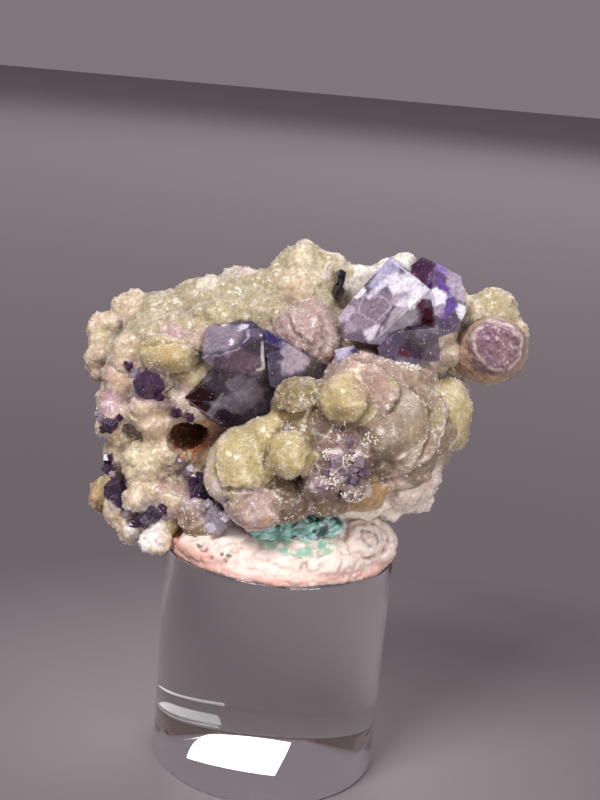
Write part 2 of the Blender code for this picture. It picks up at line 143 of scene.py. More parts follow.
def stack(unit, places, sizes, turns=None):
    """Copies of one unit shape, each at its place, in its size and with its turn."""
    corners, faces = unit
    shaped = corners[None] * np.asarray(sizes)[:, None, :]
    if turns is not None:
        shaped = np.einsum("nij,nkj->nki", turns, shaped)
    shaped = shaped + np.asarray(places)[:, None, :]
    joined = faces[None] + (np.arange(len(places)) * len(corners))[:, None, None]
    return shaped.reshape(-1, 3), joined.reshape(-1, faces.shape[1])


BALL = unit_ball(4)
SMALL_BALL = unit_ball(3)
CUBE = unit_cube()
print("ball faces", len(BALL[1]), "small ball faces", len(SMALL_BALL[1]))


# %% Draw a skin over a pile and keep its outside
def apply_modifier(piece, modifier):
    only(piece)
    bpy.ops.object.modifier_apply(modifier=modifier.name)


def islands(mesh):
    """For each corner, the number of the connected part of the mesh that it belongs to."""
    edges = np.empty(len(mesh.edges) * 2, np.int64)
    mesh.edges.foreach_get("vertices", edges)
    one, two = edges.reshape(-1, 2).T
    label = np.arange(len(mesh.vertices))
    while True:
        lowest = np.minimum(label[one], label[two])
        before = label.copy()
        np.minimum.at(label, one, lowest)
        np.minimum.at(label, two, lowest)
        label = label[label]
        if (label == before).all():
            return label


def drop_hollows(piece, smallest=0.5):
    """Deletes the skins that face inwards, and those round less than so many cubic mm."""
    mesh = piece.data
    label = islands(mesh)
    mesh.calc_loop_triangles()
    faces = np.empty(len(mesh.loop_triangles) * 3, np.int64)
    mesh.loop_triangles.foreach_get("vertices", faces)
    faces = faces.reshape(-1, 3)
    a, b, c = (read_corners(mesh)[faces[:, side]] / MM for side in range(3))
    volume = np.bincount(label[faces[:, 0]], np.einsum("ij,ij->i", a, np.cross(b, c)) / 6,
                         minlength=len(label))
    unwanted = volume[label] < smallest
    if not unwanted.any():
        return
    only(piece)
    bpy.ops.object.mode_set(mode="EDIT")
    bpy.ops.mesh.select_all(action="DESELECT")
    bpy.ops.object.mode_set(mode="OBJECT")
    mesh.vertices.foreach_set("select", unwanted)
    bpy.ops.object.mode_set(mode="EDIT")
    bpy.ops.mesh.delete(type="VERT")
    bpy.ops.object.mode_set(mode="OBJECT")


def draw_skin(piece, voxel):
    """One closed skin over everything in the piece, as fine as the voxel, in millimetres."""
    remesh = piece.modifiers.new("skin", "REMESH")
    remesh.mode = "VOXEL"
    remesh.voxel_size = voxel * MM
    remesh.use_smooth_shade = True
    apply_modifier(piece, remesh)
    drop_hollows(piece)
    return piece


def smooth_noise(points, size, seed=0.0, octaves=3):
    """Cloudy noise from -1 to 1 at every point, with features of this size in millimetres."""
    shift = Vector((seed * 7.3, seed * 3.1, seed * 5.7))
    return np.array([
        noise.fractal(Vector(p) / size + shift, 0.9, 2.0, octaves) for p in points
    ]) / 1.2


def push_out(piece, amount):
    """Moves each corner along its normal by its own amount, in millimetres."""
    corners = read_corners(piece.data) + read_normals(piece.data) * (amount[:, None] * MM)
    piece.data.vertices.foreach_set("co", corners.reshape(-1))
    piece.data.update()


# %% [markdown]
# ## The lumps of the crust
# Each row is one lump: the place of its centre, its radius across, its radius in height and its
# tone, all in millimetres. The groups overlap, and each becomes a piece with a skin of its own,
# so that the part that faces the viewer can be drawn finely.

# %% Tables of lumps
CORE = [
    (-11.5, 4.5, 45.0, 7.5, 5.5, "ridge"), (-3.0, 5.0, 45.5, 8.0, 6.0, "ridge"),
    (-12.0, 4.0, 41.0, 7.5, 6.5, "cream"), (-13.0, 3.5, 33.5, 6.5, 6.0, "cream"),
    (6.0, 2.5, 41.0, 9.5, 8.0, "grey"), (10.5, 1.5, 38.0, 7.5, 7.0, "grey"),
    (0.0, 3.5, 35.0, 10.0, 5.0, "grey"), (4.5, -3.5, 39.5, 6.0, 5.5, "mauve"),
    (11.0, 5.0, 49.5, 7.5, 5.5, "cream"), (-7.0, 5.0, 33.0, 6.0, 4.5, "cream"),
    (2.0, 5.5, 48.5, 6.5, 5.0, "ridge"), (-12.5, 0.5, 30.5, 5.0, 4.5, "cream"),
    (0.0, -5.0, 35.5, 5.0, 3.5, "mauve"),
]
FRONT_LOBE = [
    (-4.8, -8.5, 36.1, 3.7, 4.3, "olive"), (0.2, -11.4, 39.1, 2.2, 2.4, "yellow"),
    (5.3, -10.0, 45.2, 2.7, 2.7, "yellow"), (7.4, -7.0, 45.6, 4.1, 3.5, "pink"),
    (0.7, -7.5, 43.8, 2.8, 2.3, "green"), (1.2, -7.5, 40.4, 3.1, 2.5, "green"),
    (5.8, -8.5, 39.2, 3.5, 3.1, "mauve"), (3.7, -10.5, 36.2, 1.8, 1.7, "mauve"),
    (6.8, -10.0, 36.3, 1.8, 1.7, "mauve"), (9.7, -8.0, 42.1, 3.9, 3.7, "grey"),
    (11.8, -6.5, 39.0, 3.8, 4.0, "grey"), (14.3, -4.5, 41.7, 3.2, 3.8, "grey"),
    (16.4, -3.0, 42.4, 2.8, 4.0, "olive"), (17.5, -3.0, 40.6, 1.7, 2.1, "olive"),
    (11.0, -5.0, 45.4, 3.5, 2.9, "grey"), (7.5, -4.5, 47.1, 3.8, 1.9, "pink"),
    (11.5, -3.5, 46.8, 3.2, 1.7, "pink"), (-2.8, -10.0, 32.8, 3.3, 2.4, "pink"),
    (0.4, -9.5, 33.4, 2.3, 2.3, "tan"), (4.6, -8.5, 33.7, 2.5, 1.9, "tan"),
    (8.3, -8.0, 34.5, 2.3, 1.9, "amber"), (-2.0, -8.0, 39.4, 3.1, 2.7, "olive"),
    (3.0, -6.0, 41.5, 4.2, 4.2, "green"),
]
RIGHT_LEDGE = [
    (12.5, -3.5, 34.0, 2.8, 2.4, "ledge"), (14.7, -2.0, 35.3, 2.0, 2.6, "ledge"),
    (14.0, -1.5, 32.1, 2.0, 1.5, "ledge"), (11.4, -2.0, 31.1, 2.2, 1.1, "ledge"),
    (7.3, -5.0, 32.0, 3.2, 1.3, "ledge"),
]
REAR_RIDGE = [
    (-18.2, 5.0, 48.9, 2.7, 2.2, "cream"), (-21.3, 5.0, 46.4, 2.2, 2.2, "cream"),
    (-21.6, 4.0, 43.8, 1.8, 2.7, "cream"), (-14.8, 4.5, 49.3, 3.3, 2.6, "ridge"),
    (-10.6, 4.5, 50.8, 3.5, 2.9, "ridge"), (-6.4, 4.5, 52.1, 3.3, 3.0, "ridge"),
    (-2.9, 4.5, 52.9, 2.9, 2.6, "ridge"), (0.2, 4.0, 52.4, 2.8, 2.8, "ridge"),
    (2.7, 4.0, 52.4, 2.0, 3.1, "ridge"), (-12.8, 1.5, 47.7, 3.3, 2.4, "ridge"),
    (-8.4, 1.0, 50.1, 3.0, 2.2, "ridge"), (-4.1, 1.5, 50.9, 3.0, 2.2, "ridge"),
    (-16.0, 1.0, 47.0, 2.8, 2.4, "ridge"), (-17.7, 0.0, 45.1, 2.6, 2.6, "cream"),
    (-10.7, -2.0, 47.5, 1.8, 1.3, "pink"),
]
TOP_KNOB = [
    (0.0, 4.0, 56.3, 2.0, 2.2, "ridge"), (-1.6, 4.5, 55.2, 1.9, 2.0, "ridge"),
    (2.9, 4.5, 55.2, 1.9, 2.3, "ridge"), (-0.3, 2.5, 54.1, 1.9, 1.5, "cream"),
    (1.7, 3.0, 53.8, 1.7, 1.7, "ridge"), (0.8, -0.5, 49.7, 3.3, 2.8, "rose"),
    (3.0, -1.5, 48.4, 1.5, 2.3, "rose"),
]
LEFT_SIDE = [
    (-13.5, -3.0, 46.5, 3.2, 1.8, "yellow"), (-18.4, 0.0, 42.6, 2.4, 2.6, "pink"),
    (-19.1, -0.5, 40.4, 2.2, 2.2, "pink"), (-15.5, -4.0, 41.0, 1.7, 1.7, "pink"),
    (-19.2, -2.0, 39.0, 1.8, 1.5, "pink"), (-19.6, -2.0, 37.6, 1.3, 1.1, "cream"),
    (-15.0, -3.0, 39.0, 2.4, 1.4, "cream"), (-12.8, -2.5, 40.4, 1.9, 1.5, "pink"),
    (-11.7, -1.5, 41.8, 1.9, 1.5, "cream"), (-11.0, -1.5, 43.8, 1.9, 1.9, "olive"),
    (-15.5, -1.0, 43.5, 2.8, 2.6, "cream"),
]
LOWER_LEFT = [
    (-18.1, -0.5, 34.3, 2.1, 2.2, "cream"), (-15.2, -3.0, 34.3, 2.4, 2.2, "cream"),
    (-13.1, -3.0, 35.6, 1.5, 1.5, "cream"), (-14.4, -3.0, 32.1, 1.9, 1.9, "cream"),
    (-15.8, -5.0, 30.7, 1.4, 1.6, "cream"), (-12.0, -4.5, 30.7, 1.7, 1.9, "pink"),
    (-13.4, -3.5, 27.7, 2.2, 2.0, "yellow"), (-9.4, -5.5, 30.0, 1.9, 1.9, "fawn"),
    (-8.0, -5.5, 28.5, 2.6, 1.7, "fawn"), (-16.1, -2.5, 26.4, 2.0, 1.8, "cream"),
    (-15.1, -2.4, 26.0, 2.0, 1.3, "cream"), (-18.1, -1.5, 28.4, 1.5, 2.2, "cream"),
    (-20.5, 3.0, 28.0, 1.6, 2.2, "amber"), (-18.2, 2.5, 29.3, 2.6, 2.4, "yellow"),
    (-13.4, -6.2, 26.4, 1.7, 1.3, "cream"), (-10.3, -1.0, 32.9, 1.3, 1.3, "mauve"),
    (-8.7, -3.0, 31.0, 1.7, 2.0, "mauve"),
]
RIGHT_ARM = [
    (21.4, 5.0, 52.7, 2.6, 2.4, "ridge"), (19.3, 4.0, 51.4, 2.0, 2.6, "ridge"),
    (18.1, 3.5, 48.2, 2.2, 2.9, "cream"), (23.9, 4.5, 50.6, 1.2, 1.8, "cream"),
    (6.5, 5.0, 54.1, 2.4, 2.4, "white"), (11.0, 4.5, 56.8, 1.4, 1.4, "white"),
    (9.0, 5.0, 55.0, 2.2, 2.4, "white"), (15.2, 5.0, 53.3, 2.6, 3.1, "cream"),
    (13.6, -1.0, 47.5, 1.9, 1.5, "pink"), (16.0, 1.0, 48.4, 1.7, 1.7, "cream"),
]
BACK = [
    (-17.0, 8.5, 45.0, 3.2, 3.4, "ridge"), (-11.5, 10.0, 46.5, 3.6, 3.0, "ridge"),
    (-5.5, 10.5, 47.5, 3.4, 3.2, "olive"), (0.5, 11.0, 48.0, 3.6, 3.0, "ridge"),
    (6.5, 10.5, 47.5, 3.4, 3.4, "cream"), (12.5, 10.0, 47.0, 3.4, 3.2, "ridge"),
    (-19.0, 7.5, 39.0, 2.8, 3.2, "cream"), (-14.0, 9.5, 39.5, 3.8, 3.4, "olive"),
    (-7.5, 11.5, 40.5, 4.0, 3.6, "pink"), (-0.5, 12.0, 41.0, 3.8, 3.8, "olive"),
    (6.0, 11.5, 40.5, 4.0, 3.4, "grey"), (12.5, 9.5, 40.0, 3.8, 3.6, "olive"),
    (17.0, 6.0, 42.5, 2.8, 3.4, "grey"), (-16.5, 7.0, 32.5, 3.2, 3.0, "cream"),
    (-10.0, 9.0, 33.5, 3.6, 3.0, "yellow"), (-3.5, 10.5, 34.5, 3.6, 3.0, "grey"),
    (3.5, 10.5, 34.5, 3.4, 2.8, "pink"), (9.5, 8.5, 34.0, 3.4, 2.8, "cream"),
    (14.5, 5.0, 35.5, 2.8, 2.8, "pink"), (-13.0, 5.5, 28.0, 3.4, 2.4, "cream"),
    (-7.0, 6.5, 30.0, 3.0, 1.8, "cream"), (-14.0, 8.0, 48.5, 3.0, 2.4, "ridge"),
    (-8.5, 9.0, 50.0, 3.2, 2.4, "ridge"), (-3.0, 9.5, 50.5, 3.0, 2.4, "ridge"),
    (3.0, 9.5, 50.5, 3.0, 2.6, "ridge"), (9.0, 9.0, 50.5, 3.0, 2.8, "cream"),
    (14.5, 8.0, 49.5, 2.8, 2.6, "cream"), (-11.0, 11.5, 43.0, 3.0, 2.6, "cream"),
    (-4.0, 12.5, 44.3, 3.0, 2.6, "ridge"), (3.5, 12.5, 44.3, 3.0, 2.6, "olive"),
    (9.5, 11.5, 43.5, 3.0, 2.6, "ridge"), (0.0, 7.5, 53.0, 2.5, 2.0, "ridge"),
    (7.0, 7.5, 52.8, 2.6, 2.2, "cream"),
]
ALL_LUMPS = (CORE + FRONT_LOBE + RIGHT_LEDGE + REAR_RIDGE + TOP_KNOB + LEFT_SIDE + LOWER_LEFT
             + RIGHT_ARM + BACK)
print("lumps:", len(ALL_LUMPS))

# %% [markdown]
# ## Tones
# The tones are the colours of the dry, matt skin. Light that soaks into the crust warms them
# further. They are given as everyday screen colours, and turned into the linear values that
# Blender works with.


# %% Tones of the crust
def linear(colour):
    """A screen colour from 0 to 1 as linear values."""
    colour = np.asarray(colour, float)
    return np.where(colour <= 0.04045, colour / 12.92, ((colour + 0.055) / 1.055) ** 2.4)


# The ledge tone is its own cream made as light as a colour can be: painted light against the shade of the
# overhang above it.
TONES = {
    "olive": (0.77, 0.70, 0.50), "yellow": (0.76, 0.68, 0.46), "green": (0.54, 0.46, 0.29),
    "grey": (0.64, 0.55, 0.46), "pink": (0.73, 0.61, 0.56), "rose": (0.71, 0.59, 0.57),
    "mauve": (0.53, 0.42, 0.39), "cream": (0.82, 0.73, 0.61), "ridge": (0.70, 0.64, 0.51),
    "amber": (0.72, 0.58, 0.40), "white": (0.93, 0.89, 0.84), "ledge": (1.00, 0.93, 0.88),
    "tan": (0.52, 0.42, 0.33), "fawn": (0.63, 0.53, 0.43),
}


def lump_rows(rows):
    """The rows as arrays: centres, the three radii, and the linear colours of the tones."""
    centres = np.array([row[:3] for row in rows], float)
    radii = np.array([(row[3], (row[3] + row[4]) / 2, row[4]) for row in rows], float)
    return centres, radii, np.array([linear(TONES[row[5]]) for row in rows])


print("tones:", ", ".join(TONES))

# %% [markdown]
# ## Bubbles on the lumps
# A lump of this crust carries bubbles of half a millimetre to a millimetre and a half, and its
# valleys are packed with finer ones. They are sown on a first, coarse skin: a point is kept only
# if no kept point is too near, as bubbles push each other apart. Then everything gets the fine
# skin together.


# %% Sow bubbles and build a crust piece
def sow(points, spacing, seed, most):
    """Indices of points at least their own spacing apart, picked in a fixed random order."""
    order = np.random.default_rng(seed).permutation(len(points))
    cell = {}
    kept = []
    size = float(spacing.max())
    keys = np.floor(points / size).astype(int)
    for index in order:
        x, y, z = keys[index]
        here = points[index]
        room = True
        for dx in (-1, 0, 1):
            for dy in (-1, 0, 1):
                for dz in (-1, 0, 1):
                    for other in cell.get((x + dx, y + dy, z + dz), ()):
                        gap = here - points[other]
                        if gap @ gap < (0.5 * (spacing[index] + spacing[other])) ** 2:
                            room = False
                            break
                    if not room:
                        break
                if not room:
                    break
            if not room:
                break
        if room:
            cell.setdefault((x, y, z), []).append(index)
            kept.append(index)
            if len(kept) >= most:
                break
    return np.array(kept)


# How thickly bubbles are sown on each tone of lump.
BUBBLES = {
    "olive": 0.0, "yellow": 0.0, "green": 0.35, "grey": 0.15, "pink": 0.3, "rose": 0.5, "mauve": 0.7,
    "cream": 0.7, "ridge": 0.85, "amber": 0.2, "white": 0.4, "ledge": 0.6, "tan": 0.5, "fawn": 0.6,
}


def nearest_lump(points, rows):
    """The row number of the lump whose surface is nearest to each point."""
    centres, radii, _ = lump_rows(rows)
    nearest = np.full(len(points), 1e9)
    number = np.zeros(len(points), int)
    for row, (centre, size) in enumerate(zip(centres, radii)):
        away = (np.linalg.norm((points - centre) / size, axis=1) - 1) * size.min()
        number[away < nearest] = row
        nearest = np.minimum(nearest, away)
    return number


# The vector noise starts from the clock unless it is given a seed, and then no two runs agree.
NOISE_SEED = 11
noise.seed_set(NOISE_SEED)


def warped(points, amount, size, seed=0.0):
    """The points moved by a noise that bends round forms into uneven ones, all in millimetres."""
    shift = Vector((seed * 3.7, seed * 9.1, seed * 1.3))
    return points + amount * np.array([
        noise.noise_vector(Vector(p) / size + shift)[:] for p in points
    ])


def plain_arrays(piece):
    """Corners in millimetres and triangles of a piece."""
    mesh = piece.data
    mesh.calc_loop_triangles()
    faces = np.empty(len(mesh.loop_triangles) * 3, np.int64)
    mesh.loop_triangles.foreach_get("vertices", faces)
    return read_corners(mesh) / MM, faces.reshape(-1, 3)


# Each round of bubbles: the least radius, how much larger it may be, the room between two in
# radii, and the share of the places that get one. Then the least room and the most per round.
BUBBLE_ROUNDS = ((0.75, 0.5, 1.5, 0.55), (0.42, 0.25, 0.95, 0.8), (0.26, 0.12, 0.6, 0.6))
LEAST_ROOM, MOST_BUBBLES = 0.4, 6000


def lump_mass(name, rows, filled):
    """The lumps of the rows as one uneven mass, its valleys filled up a little."""
    centres, radii, _ = lump_rows(rows)
    piece = draw_skin(piece_from(name, *stack(BALL, centres, radii + filled)), 0.35)
    push_out(piece, np.full(len(piece.data.vertices), -filled))
    soften = piece.modifiers.new("soften", "SMOOTH")
    soften.factor = 0.5
    soften.iterations = 4
    apply_modifier(piece, soften)
    corners = warped(read_corners(piece.data) / MM, 0.45, 2.6, 1.0)
    piece.data.vertices.foreach_set("co", (corners * MM).reshape(-1))
    piece.data.update()
    return piece


def crust_piece(name, rows, voxel, seed, filled=0.6):
    """A piece of crust: the mass of its lumps, bubbles sown on it, and a fine skin over all."""
    piece = lump_mass(name, rows, filled)
    points, normals = read_corners(piece.data) / MM, read_normals(piece.data)
    parts = [plain_arrays(piece)]
    chance = np.random.default_rng(seed)
    wanted = np.array([BUBBLES[row[5]] for row in rows])[nearest_lump(points, rows)]
    cloud = smooth_noise(points, 3.0, seed, 2)
    for least, more, room, share in BUBBLE_ROUNDS:
        size = least + more * chance.random(len(points))
        kept = sow(points, size * room + LEAST_ROOM, seed, MOST_BUBBLES)
        kept = kept[chance.random(len(kept)) < share * wanted[kept] * (1 + cloud[kept])]
        size = size[kept]
        places = points[kept] + 0.08 * chance.standard_normal((len(kept), 3))
        places = places - normals[kept] * (size * (0.50 + 0.30 * chance.random(len(kept))))[:, None]
        parts.append(stack(SMALL_BALL, places, size[:, None] * (1.0, 1.0, 0.95)))
    starts = np.cumsum([0] + [len(corners) for corners, _ in parts[:-1]])
    corners = np.concatenate([corners for corners, _ in parts])
    faces = np.concatenate([faces + start for (_, faces), start in zip(parts, starts)])
    bpy.data.objects.remove(piece)
    piece = draw_skin(piece_from(name, corners, faces), voxel)
    soften = piece.modifiers.new("soften", "SMOOTH")
    soften.factor = 0.5
    soften.iterations = 3
    apply_modifier(piece, soften)
    print(name, "bubbles", sum(len(c) for c, _ in parts[1:]) // len(SMALL_BALL[0]),
          "faces", len(piece.data.polygons))
    return piece


crust_front = crust_piece("crust_front_lobe", FRONT_LOBE + RIGHT_LEDGE + [CORE[7], CORE[12]], 0.19, 11, 0.25)
crust_left = crust_piece("crust_left_side", LEFT_SIDE + LOWER_LEFT + [CORE[3], CORE[11]], 0.2, 12, 0.35)
crust_ridge = crust_piece(
    "crust_ridge", REAR_RIDGE + TOP_KNOB + RIGHT_ARM + [CORE[0], CORE[1], CORE[10]], 0.22, 13)
crust_back = crust_piece("crust_back", BACK + CORE, 0.3, 14)
CRUST = [crust_front, crust_left, crust_ridge, crust_back]

# %% [markdown]
# ## Seats for the crystals
# Each large crystal is a flat-faced body given by its corners, and some have grown into each
# other. A small one is a few cubes of one turn. The same bodies, a hair smaller, are cut out of
# the crust, so that the light that enters a crystal finds no crust inside it and no gap shows
# round its foot. The deep brown pocket on the left is cut at the same time.

# %% Corners of the large crystals, and the cubes of the small ones
LARGE_CRYSTALS = {
    "fluorite_left_cluster": [
        [
            (-9.7, -6.6, 47.1), (-9.8, -0.9, 49.6), (-5.0, -2.3, 50.6), (-3.7, -4.2, 50.2),
            (-3.7, -5.7, 49.6), (-7.3, -5.2, 45.0), (-3.1, -4.3, 45.9), (-8.4, -1.6, 46.2),
            (-4.4, 0.3, 47.4), (-8.9, 0.3, 47.0), (-2.7, -2.9, 47.1),
        ],
        [
            (-7.9, -4.9, 45.2), (-8.3, -3.9, 41.8), (-7.3, -2.6, 38.7), (-3.1, -1.6, 39.2),
            (0.2, -2.1, 43.7), (-0.9, -3.9, 47.9), (-3.7, -5.2, 49.2), (-11.8, -3.2, 41.6),
            (-9.3, -3.4, 44.2), (-6.5, 2.0, 48.6), (-1.5, 2.0, 47.5), (-7.2, 1.5, 39.2),
            (-2.0, 3.0, 40.0),
        ],
        [
            (-3.7, -3.2, 50.1), (1.1, -4.5, 47.7), (0.4, -5.5, 45.9), (-2.8, -4.3, 48.1),
            (0.1, -6.4, 43.9), (-2.5, -5.9, 44.7), (3.4, -3.0, 46.7), (3.0, -4.0, 44.2),
            (2.9, 1.5, 43.0), (3.0, 0.5, 45.8), (-3.3, 1.5, 48.8), (-2.0, 1.5, 42.3),
        ],
    ],
    "fluorite_top_cluster": [
        [
            (9.0, 0.3, 58.3), (12.9, -5.1, 56.1), (9.9, -4.7, 54.0), (7.6, -6.5, 50.1),
            (4.7, -4.3, 50.0), (4.0, -2.1, 51.7), (5.3, -1.2, 53.7), (13.4, -2.5, 55.5),
            (14.3, -2.4, 51.7), (11.0, -4.5, 49.9), (14.7, 3.0, 53.6), (10.3, 4.5, 57.2),
            (5.7, 2.0, 49.7), (11.2, 3.0, 48.3),
        ],
        [
            (8.2, -5.9, 49.7), (10.0, -5.7, 51.5), (14.2, -5.4, 52.2), (14.8, -5.6, 48.8),
            (8.9, -5.9, 47.6), (14.2, -2.0, 52.2), (10.4, -2.0, 51.7), (15.4, 1.0, 48.3),
            (9.5, 1.0, 47.8), (14.7, 1.0, 51.4),
        ],
        [
            (13.8, 0.8, 58.0), (16.7, 1.2, 56.7), (17.6, 0.1, 53.4), (16.8, -1.1, 51.2),
            (14.7, -2.1, 50.5), (13.6, -0.9, 54.2), (11.4, 2.6, 57.2), (12.4, 2.2, 58.3),
            (11.7, 0.6, 53.8), (12.7, 7.5, 56.9), (17.0, 7.5, 55.2), (17.9, 6.5, 50.4),
            (14.1, 6.5, 49.5),
        ],
    ],
    "fluorite_coated_ball": [
        [
            (18.2, -1.9, 51.4), (19.8, -1.9, 52.7), (22.4, -1.9, 52.5), (23.7, -1.9, 51.5),
            (23.8, -1.9, 49.1), (22.4, -1.9, 47.3), (20.2, -1.9, 47.6), (18.7, -1.9, 49.3),
            (16.4, 1.6, 47.7), (17.5, 1.6, 50.6), (18.9, 1.6, 52.1), (21.0, 1.6, 52.9),
            (23.5, 1.6, 52.1), (25.0, 1.6, 50.6), (25.1, 1.6, 47.6), (23.8, 1.6, 45.8),
            (21.2, 1.6, 44.8), (19.0, 1.6, 45.2), (17.1, 1.6, 46.4), (17.3, 4.6, 47.9),
            (19.3, 4.6, 51.0), (23.3, 4.6, 51.4), (25.2, 4.6, 49.2), (25.0, 4.6, 46.4),
            (21.7, 4.6, 44.9), (18.2, 4.6, 45.8), (19.6, 6.6, 48.6), (21.5, 6.6, 50.1),
            (23.6, 6.6, 49.0), (23.5, 6.6, 46.9), (21.0, 6.6, 46.2),
        ],
    ],
}
SMALL_CRYSTALS = {
    "fluorite_small_step": [((5.3, -5.6, 47.9), 2.5, (24, -18, 5))],
    "fluorite_small_left": [((-15.1, -5.0, 43.4), 2.3, (35, 20, 35))],
    "fluorite_small_low": [((-18.2, -3.2, 31.0), 2.0, (10, -25, -12))],
    "fluorite_small_side": [((-19.3, -1.8, 32.9), 1.2, (20, 30, 10))],
    "fluorite_small_pair": [
        ((-13.8, -5.2, 29.3), 1.5, (15, 25, 20)), ((-14.6, -5.5, 28.6), 1.3, (30, -15, 40)),
    ],
    "fluorite_small_mid": [((-8.6, -5.2, 32.9), 2.4, (20, 12, 30))],
    "fluorite_small_pale": [((-6.6, -7.8, 30.4), 2.3, (15, 8, -25))],
    "fluorite_small_edge": [((-19.1, -3.6, 38.3), 1.4, (25, 15, -20))],
    "fluorite_small_dark": [
        ((3.8, 1.2, 53.9), 1.7, (10, 30, 40)), ((3.9, 1.2, 55.3), 1.5, (-20, 15, 20)),
    ],
    "fluorite_back_upper": [
        ((-2.5, 14.0, 45.0), 4.2, (20, 25, 15)), ((-0.2, 14.2, 43.2), 3.0, (-15, 40, 30)),
    ],
    "fluorite_back_lower": [((9.5, 12.6, 37.5), 3.4, (30, 10, 50))],
    "fluorite_back_left": [((-15.5, 12.0, 42.5), 2.8, (15, -20, 35))],
}
print("crystals:", len(LARGE_CRYSTALS) + len(SMALL_CRYSTALS))


# %% Make crystal bodies
def convex_body(name, corners, grow=0.0):
    """The flat-faced solid over these corners, moved out from its middle by grow."""
    corners = np.array(corners, float)
    middle = corners.mean(0)
    away = corners - middle
    corners = corners + grow * away / np.linalg.norm(away, axis=1)[:, None]
    piece = piece_from(name, corners, np.zeros((0, 3), int))
    only(piece)
    bpy.ops.object.mode_set(mode="EDIT")
    bpy.ops.mesh.select_all(action="SELECT")
    bpy.ops.mesh.convex_hull()
    bpy.ops.mesh.select_all(action="SELECT")
    bpy.ops.mesh.dissolve_limited(angle_limit=math.radians(4))
    bpy.ops.mesh.normals_make_consistent(inside=False)
    bpy.ops.object.mode_set(mode="OBJECT")
    return piece


def cube_axes(turn):
    return np.array(Euler([math.radians(angle) for angle in turn]).to_matrix())


def cube_body(name, cube, grow=0.0):
    """A cube crystal at its centre, edge and turn."""
    centre, edge, turn = cube
    size = np.full((1, 3), edge + 2 * grow)
    corners, faces = stack(CUBE, [centre], size, cube_axes(turn)[None])
    return piece_from(name, corners, faces)


# Each step of a cube crystal: how far its middle lies off, and its size, both in edges.
STEP_CUBES = [
    ((0.00, 0.00, 0.00), (0.84, 0.84, 0.84)), ((0.16, -0.17, 0.13), (0.66, 0.62, 0.70)),
    ((-0.20, 0.06, -0.16), (0.58, 0.74, 0.64)), ((0.10, -0.05, -0.24), (0.50, 0.84, 0.50)),
    ((-0.18, -0.22, 0.20), (0.46, 0.50, 0.54)),
]
# The dark crystal is thinner one way and longer another.
SLIVERS = {"fluorite_small_dark": (0.55, 1.0, 1.1)}


def stepped_cube(name, cube):
    """A cube crystal as it really grows: a few cubes of one turn, grown into each other."""
    centre, edge, turn = cube
    axes = np.array(SLIVERS.get(name, (1.0, 1.0, 1.0)))[:, None] * cube_axes(turn)
    for number, (shift, size) in enumerate(STEP_CUBES):
        place = np.array(centre) + axes @ (np.array(shift) * edge)
        body = piece_from(name, *stack(CUBE, [place], [np.array(size) * edge], axes[None]))
        if number == 0:
            piece = body
        else:
            cut_away(piece, body, "UNION")
            bpy.data.objects.remove(body)
    return piece


def crystal_bodies(name, grow=0.0, stepped=False):
    """The separate bodies of one named crystal, larger by grow on every side."""
    if name in LARGE_CRYSTALS:
        return [convex_body(name, corners, grow) for corners in LARGE_CRYSTALS[name]]
    if stepped:
        return [stepped_cube(name, cube) for cube in SMALL_CRYSTALS[name]]
    return [cube_body(name, cube, grow) for cube in SMALL_CRYSTALS[name]]


def cut_away(piece, cutter, operation="DIFFERENCE", solver="EXACT"):
    """Cuts one piece out of another, or joins it on."""
    boolean = piece.modifiers.new("cut", "BOOLEAN")
    boolean.operation = operation
    boolean.solver = solver
    boolean.object = cutter
    apply_modifier(piece, boolean)


# %% Cut the seats and the dark pocket
def near(piece, other, room=0.5):
    """True where the boxes of two pieces come this near, in millimetres."""
    a, b = read_corners(piece.data), read_corners(other.data)
    return bool(((a.min(0) - room * MM < b.max(0)) & (b.min(0) - room * MM < a.max(0))).all())


POCKET_CENTRE, POCKET_RADII = (-10.8, -3.5, 37.3), (2.3, 6.0, 1.7)
LARGE_INSET, SMALL_INSET = -0.08, -0.25
pocket = piece_from("pocket", *stack(BALL, [POCKET_CENTRE], [POCKET_RADII]))
seats = [pocket]
for crystal in (*LARGE_CRYSTALS, *SMALL_CRYSTALS):
    seats += crystal_bodies(crystal, LARGE_INSET if crystal in LARGE_CRYSTALS else SMALL_INSET)
for crust in CRUST:
    for seat in seats:
        if near(crust, seat):
            cut_away(crust, seat, solver="MANIFOLD")
    print(crust.name, "faces after the cuts", len(crust.data.polygons))
for seat in seats:
    bpy.data.objects.remove(seat)

# %% [markdown]
# ## Painting by place
# The crust isn't one colour. Each lump keeps its tone, and stains and patches lie across them; a few patches
# are painted shadow or painted light. The valleys between lumps get a brown painted shade, except on the
# ridge, where they are frosted pale; the deepest hollows and the grooves beside shell edges get a darker
# painted shade, and bump tops and upward faces a painted highlight. All of that is worked out for each
# corner of the mesh and kept there as an attribute, because it follows the lumps and not a texture's own
# grid. The material then adds the finer grain.
#
# A patch is a centre, a radius, a tone and a strength. It was placed where a line of sight
# through the spot in the picture meets the stone, and its tone was judged.


# %% Paint helpers
def keep_colour(piece, name, colours):
    """Stores a linear colour at each corner."""
    layer = piece.data.attributes.new(name, "FLOAT_COLOR", "POINT")
    values = np.ones((len(colours), 4), np.float32)
    values[:, :3] = np.clip(colours, 0, 1)
    layer.data.foreach_set("color", values.reshape(-1))


def keep_value(piece, name, values):
    """Stores one number at each corner."""
    layer = piece.data.attributes.new(name, "FLOAT", "POINT")
    layer.data.foreach_set("value", np.asarray(values, np.float32))


def blend_in(colours, tint, share):
    """Mixes a linear colour into the colours, by a share for each corner."""
    return colours + (np.asarray(tint) - colours) * np.clip(share, 0, 1)[:, None]


def step_up(values, low, high):
    """A smooth step from 0 at low to 1 at high."""
    t = np.clip((values - low) / (high - low), 0, 1)
    return t * t * (3 - 2 * t)


